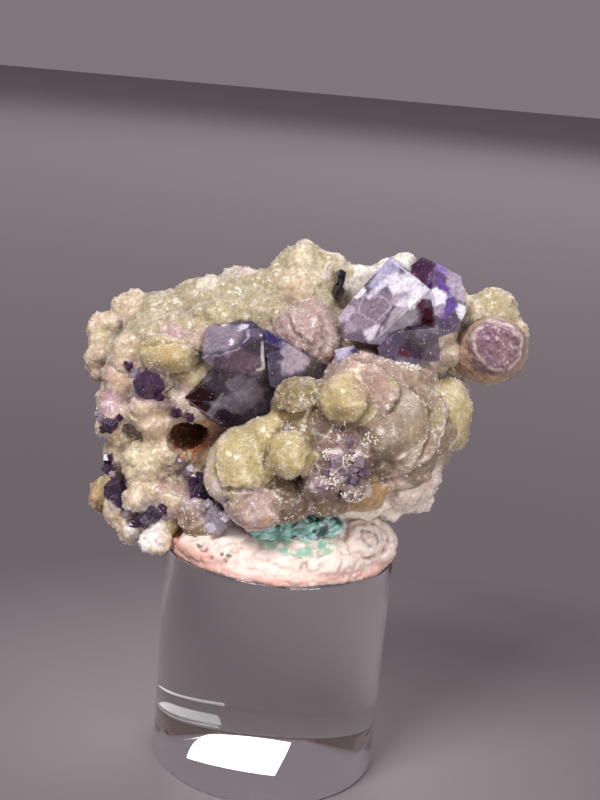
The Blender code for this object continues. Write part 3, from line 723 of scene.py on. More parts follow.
def patch_share(points, warp, centre, radius, soft=0.5):
    """1 in the middle of a round patch and 0 outside, with an uneven edge."""
    away = np.linalg.norm(points - np.array(centre), axis=1) + warp * radius * 0.5
    return 1 - step_up(away, radius * (1 - soft), radius * (1 + soft * 0.5))


LUMP_CENTRES, LUMP_RADII, LUMP_COLOURS = lump_rows(ALL_LUMPS)


def lump_tones(points):
    """The blended tone of the nearest lumps, and how near each point is to a valley."""
    nearest = np.full(len(points), 1e9)
    second = np.full(len(points), 1e9)
    weight = np.zeros(len(points))
    total = np.zeros((len(points), 3))
    for centre, radii, colour in zip(LUMP_CENTRES, LUMP_RADII, LUMP_COLOURS):
        away = (np.linalg.norm((points - centre) / radii, axis=1) - 1) * radii.min()
        pull = np.exp(-np.clip(away, -2, 20) * 7.0)
        weight += pull
        total += pull[:, None] * colour
        second = np.minimum(second, np.maximum(nearest, away))
        nearest = np.minimum(nearest, away)
    return total / weight[:, None], second - nearest


# %% Patches on the crust
PATCHES = [
    ((-8.3, -9.9, 36.2), 0.9, (0.90,0.80,0.80), 0.8),
    ((-7.9, -10.5, 38.0), 0.7, (0.90,0.82,0.80), 0.8),
    ((-7.3, -11.5, 35.2), 0.8, (0.88,0.80,0.80), 0.7),
    ((5.2, -12.7, 45.1), 1.5, (0.78,0.70,0.51), 0.8), ((3.5, -11.1, 46.9), 1.1, (0.78,0.70,0.54), 0.8),
    ((7.6, -10.8, 46.6), 1.7, (0.64,0.51,0.44), 0.7), ((10.0, -9.5, 47.1), 0.7, (0.76,0.70,0.50), 0.8),
    ((5.6, -11.3, 40.9), 2.4, (0.54,0.42,0.39), 0.7), ((2.8, -10.1, 42.1), 0.9, (0.56,0.47,0.46), 0.6),
    ((4.9, -11.6, 39.9), 0.5, (0.95,0.90,0.90), 0.9), ((5.6, -11.4, 37.8), 0.6, (0.95,0.90,0.90), 0.9),
    ((2.7, -11.9, 36.2), 0.4, (0.95,0.92,0.90), 0.9), ((8.4, -10.6, 35.6), 0.7, (0.93,0.88,0.82), 0.9),
    ((6.9, -11.6, 39.7), 0.4, (0.95,0.90,0.90), 0.8), ((9.0, -11.7, 42.4), 0.4, (0.92,0.86,0.84), 0.8),
    ((4.8, -11.6, 38.9), 0.6, (0.54,0.46,0.47), 0.9), ((7.1, -11.6, 38.9), 0.5, (0.46,0.37,0.40), 0.9),
    ((6.7, -11.6, 37.1), 0.7, (0.42,0.36,0.42), 0.9), ((5.8, -11.2, 35.4), 0.5, (0.30,0.18,0.32), 0.9),
    ((6.4, -11.3, 37.6), 0.3, (0.28,0.16,0.30), 0.9), ((7.3, -11.3, 41.0), 0.4, (0.30,0.22,0.20), 0.9),
    ((8.4, -11.0, 40.2), 0.3, (0.28,0.20,0.16), 0.8), ((11.8, -9.7, 44.7), 1.3, (0.84,0.79,0.74), 0.6),
    ((12.5, -10.5, 42.9), 1.2, (0.66,0.60,0.48), 0.6),
    ((14.7, -7.6, 43.3), 1.0, (0.66,0.60,0.44), 0.7), ((17.4, -6.0, 43.4), 1.3, (0.72,0.65,0.48), 0.6),
    ((16.4, -5.4, 45.3), 0.9, (0.80,0.74,0.58), 0.6), ((9.4, -10.0, 38.9), 1.4, (0.52,0.42,0.36), 0.7),
    ((10.1, -9.5, 37.2), 0.8, (0.46,0.38,0.32), 0.7), ((10.4, -8.8, 34.7), 0.7, (0.80,0.62,0.42), 0.8),
    ((11.4, -9.4, 36.4), 1.2, (1.00,0.90,0.82), 0.95), ((13.0, -6.0, 33.3), 1.0, (0.86,0.76,0.72), 0.6),
    ((15.0, -4.5, 35.3), 1.1, (0.88,0.76,0.72), 0.6), ((14.4, -5.3, 33.5), 0.6, (0.80,0.68,0.66), 0.6),
    ((-2.7, -12.2, 34.3), 1.3, (0.76,0.66,0.64), 0.6),
    ((-2.0, -12.7, 32.3), 0.6, (0.88,0.68,0.58), 0.8),
    ((-2.8, -12.8, 32.7), 0.2, (0.45,0.25,0.18), 0.9),
    ((-5.9, -11.6, 33.8), 0.5, (0.36,0.24,0.42), 0.9),
    ((-0.6, -11.9, 33.6), 0.8, (0.52,0.44,0.38), 0.7),
    ((3.7, -10.5, 33.5), 0.9, (0.60,0.52,0.36), 0.7), ((1.6, -11.0, 34.2), 1.9, (0.48,0.38,0.31), 0.8),
    ((3.5, -12.2, 36.4), 0.7, (0.62,0.53,0.56), 0.6), ((-6.4, 3.6, 54.9), 0.7, (0.88,0.76,0.78), 0.7),
    ((-8.1, 4.4, 54.6), 0.9, (0.93,0.88,0.84), 0.6), ((-10.0, 3.0, 53.3), 1.0, (0.92,0.90,0.84), 0.6),
    ((-13.0, -5.4, 46.6), 1.5, (0.79,0.67,0.45), 0.7),
    ((-13.4, -1.3, 48.1), 1.3, (0.75,0.61,0.65), 0.8), ((0.6, -3.5, 50.3), 1.9, (0.70,0.58,0.57), 0.5),
    ((-17.3, -2.7, 45.1), 0.5, (0.66,0.46,0.58), 0.8),
    ((-17.7, -2.6, 44.6), 0.3, (0.40,0.24,0.40), 0.8),
    ((-19.4, -2.8, 40.5), 1.1, (0.79,0.64,0.68), 0.7),
    ((-18.2, -3.3, 39.0), 0.3, (0.40,0.24,0.40), 0.9),
    ((-20.2, -3.4, 38.6), 0.6, (0.84,0.76,0.82), 0.8),
    ((-15.3, -5.6, 41.3), 0.8, (0.86,0.78,0.56), 0.7),
    ((-11.5, -3.0, 42.6), 0.9, (0.88,0.78,0.76), 0.7),
    ((-12.2, -4.2, 40.7), 0.5, (0.36,0.20,0.30), 0.7),
    # The second patch on the next line lines the left pocket: its brown made bright amber, a painted glow in
    # place of light shining through the crust.
    ((-9.5, -2.7, 44.2), 0.4, (0.92,0.86,0.84), 0.8), ((-11.4, 0.8, 36.6), 3.2, (0.90,0.52,0.22), 1.0),
    ((-21.2, 2.9, 47.0), 1.1, (0.86,0.81,0.62), 0.5), ((-14.5, 0.5, 49.8), 0.4, (0.95,0.92,0.86), 0.8),
    ((-19.8, 3.2, 48.2), 0.8, (0.90,0.84,0.78), 0.6),
    ((-15.4, -5.1, 35.1), 1.8, (0.88,0.83,0.68), 0.6),
    ((-11.9, -3.8, 35.4), 0.4, (0.93,0.88,0.86), 0.9),
    ((-11.6, -2.8, 34.1), 0.4, (0.92,0.88,0.88), 0.9),
    ((-11.1, -3.1, 33.2), 0.7, (0.78,0.70,0.72), 0.8),
    ((-15.5, -6.2, 31.6), 0.7, (0.90,0.85,0.74), 0.6),
    ((-17.9, -3.2, 29.4), 0.7, (0.78,0.66,0.74), 0.8),
    ((-14.5, -5.7, 27.4), 2.2, (1.00,0.97,0.95), 0.95),
    ((-9.6, -6.9, 31.2), 1.1, (0.74,0.65,0.66), 0.7), ((-9.1, -7.3, 29.0), 1.8, (0.52,0.40,0.30), 0.85),
    ((-20.5, 1.2, 28.6), 0.9, (0.86,0.72,0.50), 0.7),
    ((-12.2, -6.4, 31.4), 0.9, (0.84,0.77,0.60), 0.6),
    ((-12.7, -7.2, 27.3), 0.8, (0.88,0.80,0.76), 0.6),
    ((-16.9, -3.5, 35.8), 0.5, (0.90,0.86,0.76), 0.6), ((4.3, 3.8, 56.7), 0.9, (0.92,0.88,0.80), 0.5),
    ((20.8, 3.0, 54.1), 1.2, (0.74,0.67,0.50), 0.7), ((19.3, 2.2, 53.1), 0.7, (0.84,0.76,0.68), 0.6),
    ((-0.6, 2.3, 57.3), 0.9, (0.86,0.81,0.62), 0.5), ((2.3, 2.2, 55.4), 0.5, (0.86,0.76,0.76), 0.7),
    ((1.8, 3.0, 56.6), 0.5, (0.84,0.80,0.62), 0.5), ((-3.4, 0.8, 52.9), 1.5, (0.68,0.62,0.48), 0.6),
    ((-6.4, -0.5, 51.3), 1.3, (0.70,0.64,0.49), 0.6),
    ((-10.8, -0.8, 49.3), 0.9, (0.84,0.79,0.58), 0.5),
    ((-8.5, -1.3, 51.0), 0.8, (0.80,0.76,0.56), 0.5),
    ((-15.1, -5.0, 43.4), 1.9, (0.80,0.68,0.74), 0.7), ((-16.6, -4.2, 44.2), 0.7, (0.62,0.44,0.58), 0.7),
    ((-18.2, -3.2, 31.0), 1.6, (0.78,0.68,0.76), 0.7), ((-17.4, -3.6, 29.6), 0.8, (0.70,0.56,0.68), 0.8),
    ((-14.0, -5.4, 29.0), 1.6, (0.82,0.74,0.76), 0.6), ((-12.7, -5.6, 30.1), 0.6, (0.36,0.24,0.34), 0.8),
    ((-8.6, -5.2, 32.9), 1.9, (0.66,0.58,0.66), 0.7), ((-6.6, -7.8, 30.4), 1.6, (0.78,0.73,0.78), 0.8),
    ((-6.4, -9.4, 32.2), 0.5, (0.28,0.20,0.40), 0.8), ((-19.3, -1.8, 32.9), 1.1, (0.56,0.38,0.52), 0.7),
    # Painted shadow: both patches on this line and the first on the next darken the crust under the left
    # crystals and round the pocket towards a dark brown.
    ((-10.6, -4.4, 36.0), 1.0, (0.40,0.26,0.22), 0.6), ((-12.8, -3.9, 40.2), 0.9, (0.46,0.30,0.28), 0.6),
    ((-10.0, -3.9, 40.3), 0.9, (0.40,0.28,0.28), 0.6), ((-15.4, -4.6, 39.6), 1.6, (0.93,0.83,0.70), 0.8),
    ((-13.6, -4.4, 38.8), 1.2, (0.92,0.82,0.70), 0.7), ((-17.2, -3.4, 41.6), 1.4, (0.90,0.80,0.76), 0.7),
    ((-7.4, -9.6, 39.8), 0.8, (0.93,0.87,0.84), 0.7), ((-6.8, -11.6, 34.4), 0.9, (0.90,0.82,0.80), 0.7),
    ((-4.6, -12.2, 35.0), 0.6, (0.88,0.80,0.76), 0.7), ((0.9, -9.3, 41.6), 0.7, (0.66,0.60,0.44), 0.7),
    ((12.4, -9.0, 38.4), 0.5, (0.86,0.78,0.70), 0.7), ((5.8, -3.6, 49.6), 0.6, (0.90,0.86,0.80), 0.7),
    ((-14.6, -5.9, 27.7), 1.8, (1.00,0.97,0.95), 0.95), ((-0.2, 2.0, 56.8), 1.7, (0.90,0.83,0.70), 0.8),
    # The first patch on the next line lightens the ledge to near white: painted light against the overhang's
    # shade.
    ((14.0, -6.4, 35.3), 1.2, (1.00,0.92,0.86), 0.9), ((12.6, -10.6, 41.6), 1.3, (0.74,0.66,0.54), 0.7),
    ((-18.6, -2.4, 43.0), 1.2, (0.88,0.76,0.64), 0.7), ((-12.2, -6.8, 34.6), 0.7, (0.44,0.30,0.22), 0.7),
    ((-3.6, -11.8, 33.6), 0.5, (0.50,0.40,0.40), 0.7), ((3.4, -10.2, 43.4), 0.8, (0.48,0.40,0.36), 0.7),
]


# %% [markdown]
# ## Shell edges
# Where one layer of the crust laps over the next, it ends in a low step with a pale line, and a shallow
# groove beside the step carries a painted shadow. Each such edge is a path along the surface. The layer
# lies on the right of the path for a side of -1 and on its left for a side of 1, seen from the front.
# It is raised by the given height, and the rise fades out over the given reach.

# %% Paths of the shell edges
SHELL_EDGES = [
    ([(12.0, -8.0, 45.9), (13.1, -7.6, 45.2), (13.8, -7.4, 43.9), (13.8, -7.9, 42.5),
      (13.7, -9.1, 41.2), (13.2, -10.0, 39.8), (12.5, -10.3, 38.0)], -1, 0.45, 2.5),
    ([(14.1, -6.8, 45.9), (15.2, -6.0, 45.0), (16.0, -6.6, 43.9), (15.9, -7.3, 42.8),
      (15.7, -7.9, 41.6), (15.1, -8.0, 40.2), (14.2, -9.6, 39.3)], -1, 0.40, 1.8),
    ([(5.9, -8.5, 48.6), (7.9, -9.1, 48.5), (9.5, -9.3, 47.7), (10.6, -9.3, 46.6),
      (10.3, -10.0, 45.6), (9.6, -10.9, 44.5)], -1, 0.40, 2.2),
    ([(7.3, -11.8, 45.6), (7.3, -11.7, 44.7), (6.4, -11.6, 43.4), (5.4, -11.2, 42.8),
      (4.4, -10.7, 42.7), (3.3, -11.1, 43.8), (2.9, -11.2, 44.7)], -1, 0.30, 1.6),
    ([(-0.9, -10.0, 41.1), (0.5, -10.2, 41.3), (1.6, -11.4, 41.0), (2.2, -12.0, 40.0),
      (1.5, -13.0, 38.1), (0.2, -11.0, 36.4), (-1.4, -11.0, 36.5), (-2.1, -10.9, 37.4),
      (-1.8, -12.0, 39.9), (-1.4, -11.2, 40.7), (-0.9, -10.0, 41.1)], -1, 0.20, 1.2),
    ([(-7.2, -10.0, 39.0), (-7.2, -11.3, 37.3), (-6.4, -12.0, 35.2), (-4.5, -12.4, 35.6),
      (-2.3, -11.5, 35.5), (-1.6, -10.4, 35.9)], 1, 0.30, 2.0),
    ([(2.9, -3.9, 45.8), (2.4, -7.8, 45.6), (2.7, -10.7, 44.9), (2.0, -9.7, 44.0)], -1, 0.2, 1.2),
    ([(-1.8, -8.3, 44.3), (-1.2, -9.3, 43.3), (0.4, -10.0, 43.2), (1.8, -9.8, 43.7)], 1, 0.3, 1.6),
    ([(-16.4, -4.0, 46.8), (-13.7, -4.7, 47.9), (-11.2, -3.9, 47.5), (-10.2, -2.1, 46.1),
      (-11.1, -3.0, 45.0), (-13.7, -3.0, 44.5), (-15.8, -3.3, 44.9), (-16.4, -4.0, 46.8)],
     -1, 0.3, 1.5),
    ([(-2.8, -0.9, 50.4), (-2.7, -3.8, 49.0), (-1.2, -4.3, 48.0), (0.3, -3.4, 48.2)], 1, 0.2, 1.2),
    ([(1.9, -2.6, 51.6), (2.5, -3.1, 49.9), (2.2, -3.1, 48.0)], -1, 0.25, 1.2),
    ([(-1.0, -2.4, 51.3), (-0.3, -3.3, 50.2), (1.3, -3.5, 49.1)], 1, 0.2, 1.0),
    ([(-5.0, -12.3, 35.0), (-2.3, -11.5, 35.5), (-0.2, -11.5, 34.3), (-0.3, -11.8, 32.8),
      (-1.4, -12.1, 31.6), (-3.2, -12.5, 31.8)], -1, 0.3, 1.8),
    ([(9.5, -8.5, 36.5), (10.8, -9.8, 37.1), (12.4, -10.2, 37.8), (14.0, -9.7, 39.1)], 1, 0.3, 2.0),
    ([(16.3, -3.4, 34.7), (15.2, -2.8, 32.7), (13.9, -3.1, 31.5)], -1, 0.2, 1.5),
]


def from_path(points, path, side):
    """How far each point is from the path, and whether it is on the layer's side."""
    best = np.full(len(points), 1e9)
    inside = np.zeros(len(points), bool)
    for start, end in zip(np.array(path[:-1]), np.array(path[1:])):
        way = end - start
        along = np.clip((points - start) @ way / (way @ way), 0, 1)
        gap = points - (start + along[:, None] * way)
        away = np.linalg.norm(gap, axis=1)
        turn = way[0] * (points[:, 2] - start[2]) - way[2] * (points[:, 0] - start[0])
        nearer = away < best
        best[nearer] = away[nearer]
        inside[nearer] = (turn[nearer] * side) > 0
    return best, inside


def shell_steps(points):
    """The height of the steps, the pale line along them and the groove beside them, where a shadow is
    painted.
    """
    wavy = warped(points, 0.30, 0.9, 11.0)
    rise, line, groove = np.zeros((3, len(points)))
    for path, side, height, reach in SHELL_EDGES:
        away, inside = from_path(wavy, path, side)
        rise = np.maximum(rise, np.where(inside, height * (1 - step_up(away, 0.0, reach)), 0))
        line = np.maximum(line, 1 - np.where(inside, step_up(away, 0.10, 0.30), step_up(away, 0.0, 0.10)))
        groove = np.maximum(groove, np.where(inside, 0, 1 - step_up(away, 0.10, 0.9)))
    return rise - 0.22 * groove * (rise == 0), line, groove * (1 - line)


def hollows(piece, rounds):
    """How far each corner lies below the smoothed surface, in millimetres: bumps are negative."""
    mesh = piece.data
    edges = np.empty(len(mesh.edges) * 2, np.int64)
    mesh.edges.foreach_get("vertices", edges)
    one, two = edges.reshape(-1, 2).T
    many = len(mesh.vertices)
    count = np.bincount(one, minlength=many) + np.bincount(two, minlength=many)
    start = read_corners(mesh)
    smooth = start.copy()
    for _ in range(rounds):
        total = np.stack([
            np.bincount(one, smooth[two, axis], many) + np.bincount(two, smooth[one, axis], many)
            for axis in range(3)
        ], 1)
        smooth = total / np.maximum(count, 1)[:, None]
    return np.einsum("ij,ij->i", smooth - start, read_normals(mesh)) / MM


# %% Paint the crust
KNOB_HIGHLIGHT, TOP_LIGHT_TINT, PALE_LINE = (0.93, 0.89, 0.86), (0.95, 0.91, 0.86), (0.96, 0.91, 0.84)
CLEFT_SHADE, GROOVE_SHADOW = (0.26, 0.17, 0.12), (0.38, 0.28, 0.22)
SHORT_RANGE, LONG_RANGE = 24, 170
PATCH_SPREAD = 1.25
CONTOUR = {"crust_front_lobe": 0.75, "crust_left_side": 0.5, "crust_ridge": 0.25, "crust_back": 0.5}
# The valley tone of each piece: a brown painted shade on the front, left and back pieces, and pale frosting
# on the ridge.
VALLEY_SHADE_AND_FROST = {"crust_front_lobe": (0.46, 0.34, 0.27), "crust_left_side": (0.44, 0.32, 0.25),
          "crust_ridge": (0.90, 0.86, 0.77), "crust_back": (0.50, 0.40, 0.32)}


def paint_crust(piece):
    """Paints a piece of crust: lump tones, patches, valleys (painted shade, or pale frost on the ridge),
    painted shade in clefts and grooves, painted highlights on bump tops and upward faces, and pale lines.
    """
    points = read_corners(piece.data) / MM
    mottle = smooth_noise(points, 2.2, 2.0, 3)
    fine = smooth_noise(points, 0.6, 3.0, 2)
    colours, gap = lump_tones(warped(points, 0.9, 1.8, 4.0))
    hollow = hollows(piece, SHORT_RANGE)
    valley = step_up(hollow, 0.02, 0.22)
    knob = step_up(-hollow, 0.0, 0.2)
    cleft = step_up(hollows(piece, LONG_RANGE), 0.10, 0.90)
    _, edge, groove = shell_steps(points)
    line = CONTOUR[piece.name] * (1 - step_up(gap, 0.03, 0.18)) * step_up(mottle, -0.5, 0.2)
    line = np.maximum(line, edge)
    colours = colours * (1 + 0.10 * mottle + 0.06 * fine)[:, None]
    # Painted highlight: the tops of bumps are lightened towards a pale cream.
    colours = blend_in(colours, linear(KNOB_HIGHLIGHT), 0.30 * knob * step_up(fine, -0.4, 0.5))
    upward = step_up(read_normals(piece.data)[:, 2], 0.2, 0.95)
    cloudy = step_up(smooth_noise(points, 1.3, 4.0, 2), -0.1, 0.4)
    frost = 0.05 + 0.45 * cloudy + 0.4 * line + 0.25 * knob + 0.1 * upward
    # Painted light: upward-facing corners are whitened a little, in cloudy patches.
    colours = blend_in(colours, linear(TOP_LIGHT_TINT), 0.10 * upward * cloudy)
    for centre, radius, tone, strength in PATCHES:
        share = strength * patch_share(points, fine + 0.5 * mottle, centre, radius * PATCH_SPREAD)
        colours = blend_in(colours, linear(tone), share)
    # Painted shade in the valleys, except on the ridge, where the valleys are frosted pale.
    colours = blend_in(colours, linear(VALLEY_SHADE_AND_FROST[piece.name]), 0.45 * valley * step_up(-fine, -0.5, 0.4))
    # Painted shade: the deepest hollows are darkened towards a dark brown.
    colours = blend_in(colours, linear(CLEFT_SHADE), 0.72 * cleft)
    # Painted shadow in the groove beside each shell edge.
    colours = blend_in(colours, linear(GROOVE_SHADOW), 0.50 * groove)
    colours = blend_in(colours, linear(PALE_LINE), 0.8 * line)
    keep_colour(piece, "tint", colours)
    keep_value(piece, "frost", np.clip(frost, 0, 1))
    print(piece.name, "painted", len(points), "corners")


# How billowy the surface of each tone of lump is: the others are smooth.
ROUGH = {"cream": 1.0, "ledge": 0.9, "fawn": 0.8, "mauve": 0.9, "tan": 0.8, "ridge": 0.35,
         "pink": 0.3, "green": 0.4, "white": 0.2, "grey": 0.15, "rose": 0.2}
BILLOWS = 0.30
for crust in CRUST:
    points = read_corners(crust.data) / MM
    swell = 0.04 * smooth_noise(points, 1.2, 6.0, 1) + 0.012 * smooth_noise(points, 0.4, 7.0, 2)
    rough = np.array([ROUGH.get(row[5], 0.0) for row in ALL_LUMPS])[nearest_lump(points, ALL_LUMPS)]
    swell += BILLOWS * rough * (np.abs(smooth_noise(points, 0.9, 8.0, 2)) - 0.15)
    push_out(crust, swell + shell_steps(points)[0])
    paint_crust(crust)

# %% [markdown]
# ## Sugar grains
# Thousands of tiny crystals sparkle on the crust. One cube is modelled and laid down as many
# small cubes, each with its own size and turn, most of them where the crust is frosted. A few
# spots carry coarser grains.

# %% Lay down the grains
# Each spot: its centre, its radius, how many grains and how large.
GRAIN_SPOTS = [
    ((3.9, -12.2, 39.5), 0.9, 40, 0.22), ((4.4, -12.4, 36.9), 0.8, 34, 0.22),
    ((1.2, -11.8, 35.6), 0.5, 18, 0.26), ((6.9, -11.9, 35.0), 0.9, 55, 0.24),
    ((6.0, -12.0, 39.0), 0.6, 30, 0.22), ((8.0, -11.5, 41.5), 0.7, 25, 0.22),
    ((-11.0, -4.6, 34.2), 0.8, 50, 0.24), ((-14.0, -6.0, 27.6), 1.3, 60, 0.22),
    ((11.5, -5.9, 49.0), 1.2, 70, 0.26), ((15.0, -3.5, 50.5), 1.2, 70, 0.24),
]
GRAINS = {"crust_front_lobe": 2400, "crust_left_side": 2600, "crust_ridge": 2800, "crust_back": 2200}
SMALLEST_GRAIN, GRAIN_SPREAD = 0.06, 0.08


def grains_on(piece, count, seed):
    """Places and sizes of grains on a piece of crust."""
    chance = np.random.default_rng(seed)
    points, normals = read_corners(piece.data) / MM, read_normals(piece.data)
    frost = np.empty(len(points), np.float32)
    piece.data.attributes["frost"].data.foreach_get("value", frost)
    likely = (0.15 + frost.astype(float)) ** 2
    picked = chance.choice(len(points), count, replace=False, p=likely / likely.sum())
    size = SMALLEST_GRAIN + GRAIN_SPREAD * chance.random(count) ** 2
    places = [points[picked] + 0.02 * normals[picked]]
    sizes = [size]
    for centre, radius, many, large in GRAIN_SPOTS:
        near_spot = np.flatnonzero(np.linalg.norm(points - np.array(centre), axis=1) < radius * 1.4)
        if len(near_spot) > many:
            chosen = chance.choice(near_spot, many, replace=False)
            places.append(points[chosen] + 0.05 * normals[chosen])
            sizes.append(large * (0.4 + 0.6 * chance.random(many)))
    return np.concatenate(places), np.concatenate(sizes)


def random_turns(count, seed):
    """So many random turns, as matrices."""
    four = np.random.default_rng(seed).standard_normal((count, 4))
    w, x, y, z = (four / np.linalg.norm(four, axis=1)[:, None]).T
    return np.array([
        [1 - 2 * (y * y + z * z), 2 * (x * y - z * w), 2 * (x * z + y * w)],
        [2 * (x * y + z * w), 1 - 2 * (x * x + z * z), 2 * (y * z - x * w)],
        [2 * (x * z - y * w), 2 * (y * z + x * w), 1 - 2 * (x * x + y * y)],
    ]).transpose(2, 0, 1)


found = [grains_on(crust, GRAINS[crust.name], 40 + number) for number, crust in enumerate(CRUST)]
grain_places = np.concatenate([places for places, _ in found])
grain_sizes = np.concatenate([sizes for _, sizes in found])
grain_shapes = grain_sizes[:, None] * (1.0, 1.0, 0.8)
sugar = piece_from("sugar_grains", *stack(
    CUBE, grain_places, grain_shapes, random_turns(len(grain_places), 50)))
print("grains", len(grain_places), "triangles", 12 * len(grain_places))

# %% [markdown]
# ## Seed crystals
# Between the lumps sit cubes of about a millimetre, some in little clusters. A cube is bevelled
# once, so that its edges look worn, and is then laid down with a turn of its own for each.

# %% Lay down the seed crystals
# Each seed: its centre, its edge and its tone.
SEED_CUBES = [
    ((4.8, -11.4, 38.9), 1.1, "mauve"), ((7.1, -11.4, 38.9), 1.2, "mauve"),
    ((6.7, -11.3, 37.1), 1.3, "dark"), ((5.6, -11.3, 37.7), 0.8, "mauve"),
    ((3.5, -11.9, 36.4), 0.9, "mauve"), ((2.7, -11.6, 36.0), 0.6, "mauve"),
    ((5.8, -11.0, 35.5), 0.8, "plum"), ((6.4, -11.2, 39.9), 0.7, "mauve"),
    ((7.9, -10.9, 37.9), 0.8, "dark"), ((4.0, -11.6, 37.6), 0.7, "dark"),
    ((8.4, -10.6, 39.9), 0.6, "plum"), ((2.9, -9.7, 41.7), 0.7, "mauve"),
    ((7.5, -10.8, 36.1), 0.7, "mauve"), ((6.0, -11.5, 41.2), 0.6, "mauve"),
    ((-17.3, -3.9, 29.7), 1.0, "plum"), ((-16.7, -4.4, 28.6), 0.8, "mauve"),
    ((-19.2, -2.3, 30.0), 0.8, "plum"), ((-12.6, -5.9, 30.3), 0.9, "plum"),
    ((-15.6, -5.3, 28.0), 0.8, "plum"), ((-12.4, -5.6, 29.2), 0.7, "mauve"),
    ((-19.4, -2.2, 34.0), 0.9, "plum"), ((-18.7, -2.4, 32.2), 0.7, "mauve"),
    ((-18.2, -3.2, 39.1), 0.7, "plum"), ((-20.2, -3.2, 38.9), 0.8, "mauve"),
    ((-19.8, -3.0, 37.7), 0.8, "plum"), ((-16.7, -4.0, 44.3), 0.8, "mauve"),
    ((-17.6, -2.9, 44.7), 0.7, "plum"), ((-16.2, -5.0, 42.4), 0.8, "mauve"),
    ((-13.8, -5.4, 42.3), 0.7, "plum"), ((-9.9, -5.9, 33.6), 0.9, "plum"),
    ((-9.4, -5.8, 31.9), 0.9, "plum"), ((-7.9, -7.2, 31.6), 0.8, "pale"),
    ((-6.3, -9.2, 32.2), 0.7, "plum"), ((-5.9, -9.4, 31.2), 0.8, "pale"),
    ((-7.3, -8.6, 29.6), 0.9, "pale"), ((-11.3, -4.6, 35.2), 0.7, "mauve"),
    ((-10.3, -4.8, 34.6), 0.7, "pale"), ((-12.0, -4.4, 40.4), 0.8, "plum"),
    ((-10.6, -4.4, 40.0), 0.7, "plum"), ((-9.6, -5.2, 32.9), 0.8, "mauve"),
]
SEED_TONES = {"mauve": (0.60, 0.52, 0.57), "dark": (0.42, 0.35, 0.41), "plum": (0.26, 0.15, 0.28),
              "pale": (0.80, 0.76, 0.82)}
# A seed has two smaller ones beside it: the share of its edge, and how far off, in edges.
CLUSTER = ((1.0, 0.0), (0.7, 0.45), (0.5, 0.6))

bpy.ops.object.select_all(action="DESELECT")
bpy.ops.mesh.primitive_cube_add(size=1)
worn_cube = bpy.context.object
only(worn_cube)
for kind, settings in (("BEVEL", {"width": 0.05, "segments": 1}), ("TRIANGULATE", {})):
    modifier = worn_cube.modifiers.new(kind.lower(), kind)
    for key, value in settings.items():
        setattr(modifier, key, value)
    apply_modifier(worn_cube, modifier)
WORN_CUBE = taken_off(worn_cube)
chance = np.random.default_rng(60)
seed_places, seed_sizes, seed_tints = [], [], []
for centre, edge, tone in SEED_CUBES:
    for share, drift in CLUSTER:
        seed_places.append(np.array(centre) + drift * edge * chance.uniform(-1, 1, 3))
        seed_sizes.append(edge * share * np.array([1.0, 1.0, chance.uniform(0.7, 1.0)]))
        seed_tints.append(linear(SEED_TONES[tone]) * chance.uniform(0.75, 1.3))
seeds = piece_from("seed_crystals", *stack(
    WORN_CUBE, seed_places, seed_sizes, random_turns(len(seed_places), 61)))
keep_colour(seeds, "tint", np.repeat(np.array(seed_tints), len(WORN_CUBE[0]), 0))
keep_value(seeds, "clear", np.full(len(seeds.data.vertices), 0.15))
print("seed crystals", len(seed_places))

# %% [markdown]
# ## Crystal pieces
# A fluorite face is flat, with a narrow worn edge. The bodies of one name are joined by a
# Boolean, get that edge from a Bevel, and are then divided until no side is longer than a
# quarter of a millimetre, so that their zones can be painted at the corners.

# %% Build a crystal piece
CRYSTAL_GRAIN = 0.26


def divide_finely(piece, longest):
    """Splits every side that is longer than this many millimetres, again and again."""
    only(piece)
    bpy.ops.object.mode_set(mode="EDIT")
    bpy.ops.mesh.select_mode(type="EDGE")
    for _ in range(9):
        bpy.ops.mesh.select_all(action="SELECT")
        bpy.ops.mesh.quads_convert_to_tris(quad_method="BEAUTY", ngon_method="BEAUTY")
        bpy.ops.mesh.select_all(action="DESELECT")
        shape = bmesh.from_edit_mesh(piece.data)
        long_ones = [edge for edge in shape.edges if edge.calc_length() > longest * MM]
        for edge in long_ones:
            edge.select = True
        shape.select_flush(True)
        bmesh.update_edit_mesh(piece.data)
        if not long_ones:
            break
        bmesh.ops.subdivide_edges(shape, edges=long_ones, cuts=1)
        bmesh.update_edit_mesh(piece.data)
    bpy.ops.mesh.select_all(action="SELECT")
    bpy.ops.mesh.quads_convert_to_tris(quad_method="BEAUTY", ngon_method="BEAUTY")
    bpy.ops.object.mode_set(mode="OBJECT")


def crystal_piece(name, edge_width, longest=CRYSTAL_GRAIN):
    """One named crystal: its bodies joined, its edges worn, its faces divided for painting."""
    bodies = crystal_bodies(name, stepped=True)
    piece = bodies[0]
    piece.name = name.replace("fluorite", "crystal")
    for other in bodies[1:]:
        cut_away(piece, other, "UNION")
        bpy.data.objects.remove(other)
    bevel = piece.modifiers.new("worn_edge", "BEVEL")
    bevel.width = edge_width * MM
    bevel.segments = 2
    bevel.limit_method = "ANGLE"
    bevel.angle_limit = math.radians(15)
    apply_modifier(piece, bevel)
    divide_finely(piece, longest)
    only(piece)
    bpy.ops.object.shade_smooth_by_angle(angle=math.radians(12))
    print(piece.name, "faces", len(piece.data.polygons))
    return piece


ROUND_EDGE, WORN_EDGE = 0.55, 0.06
CRYSTALS = {
    name: crystal_piece(name, ROUND_EDGE if "ball" in name else WORN_EDGE)
    for name in (*LARGE_CRYSTALS, *SMALL_CRYSTALS)
}
ball = CRYSTALS["fluorite_coated_ball"]
round_off = ball.modifiers.new("round_off", "SMOOTH")
round_off.iterations = 6
apply_modifier(ball, round_off)
points = read_corners(ball.data) / MM
push_out(ball, 0.10 * smooth_noise(points, 1.2, 9.0, 2) + 0.05 * smooth_noise(points, 0.45, 9.5, 2))
only(ball)
bpy.ops.object.shade_smooth()


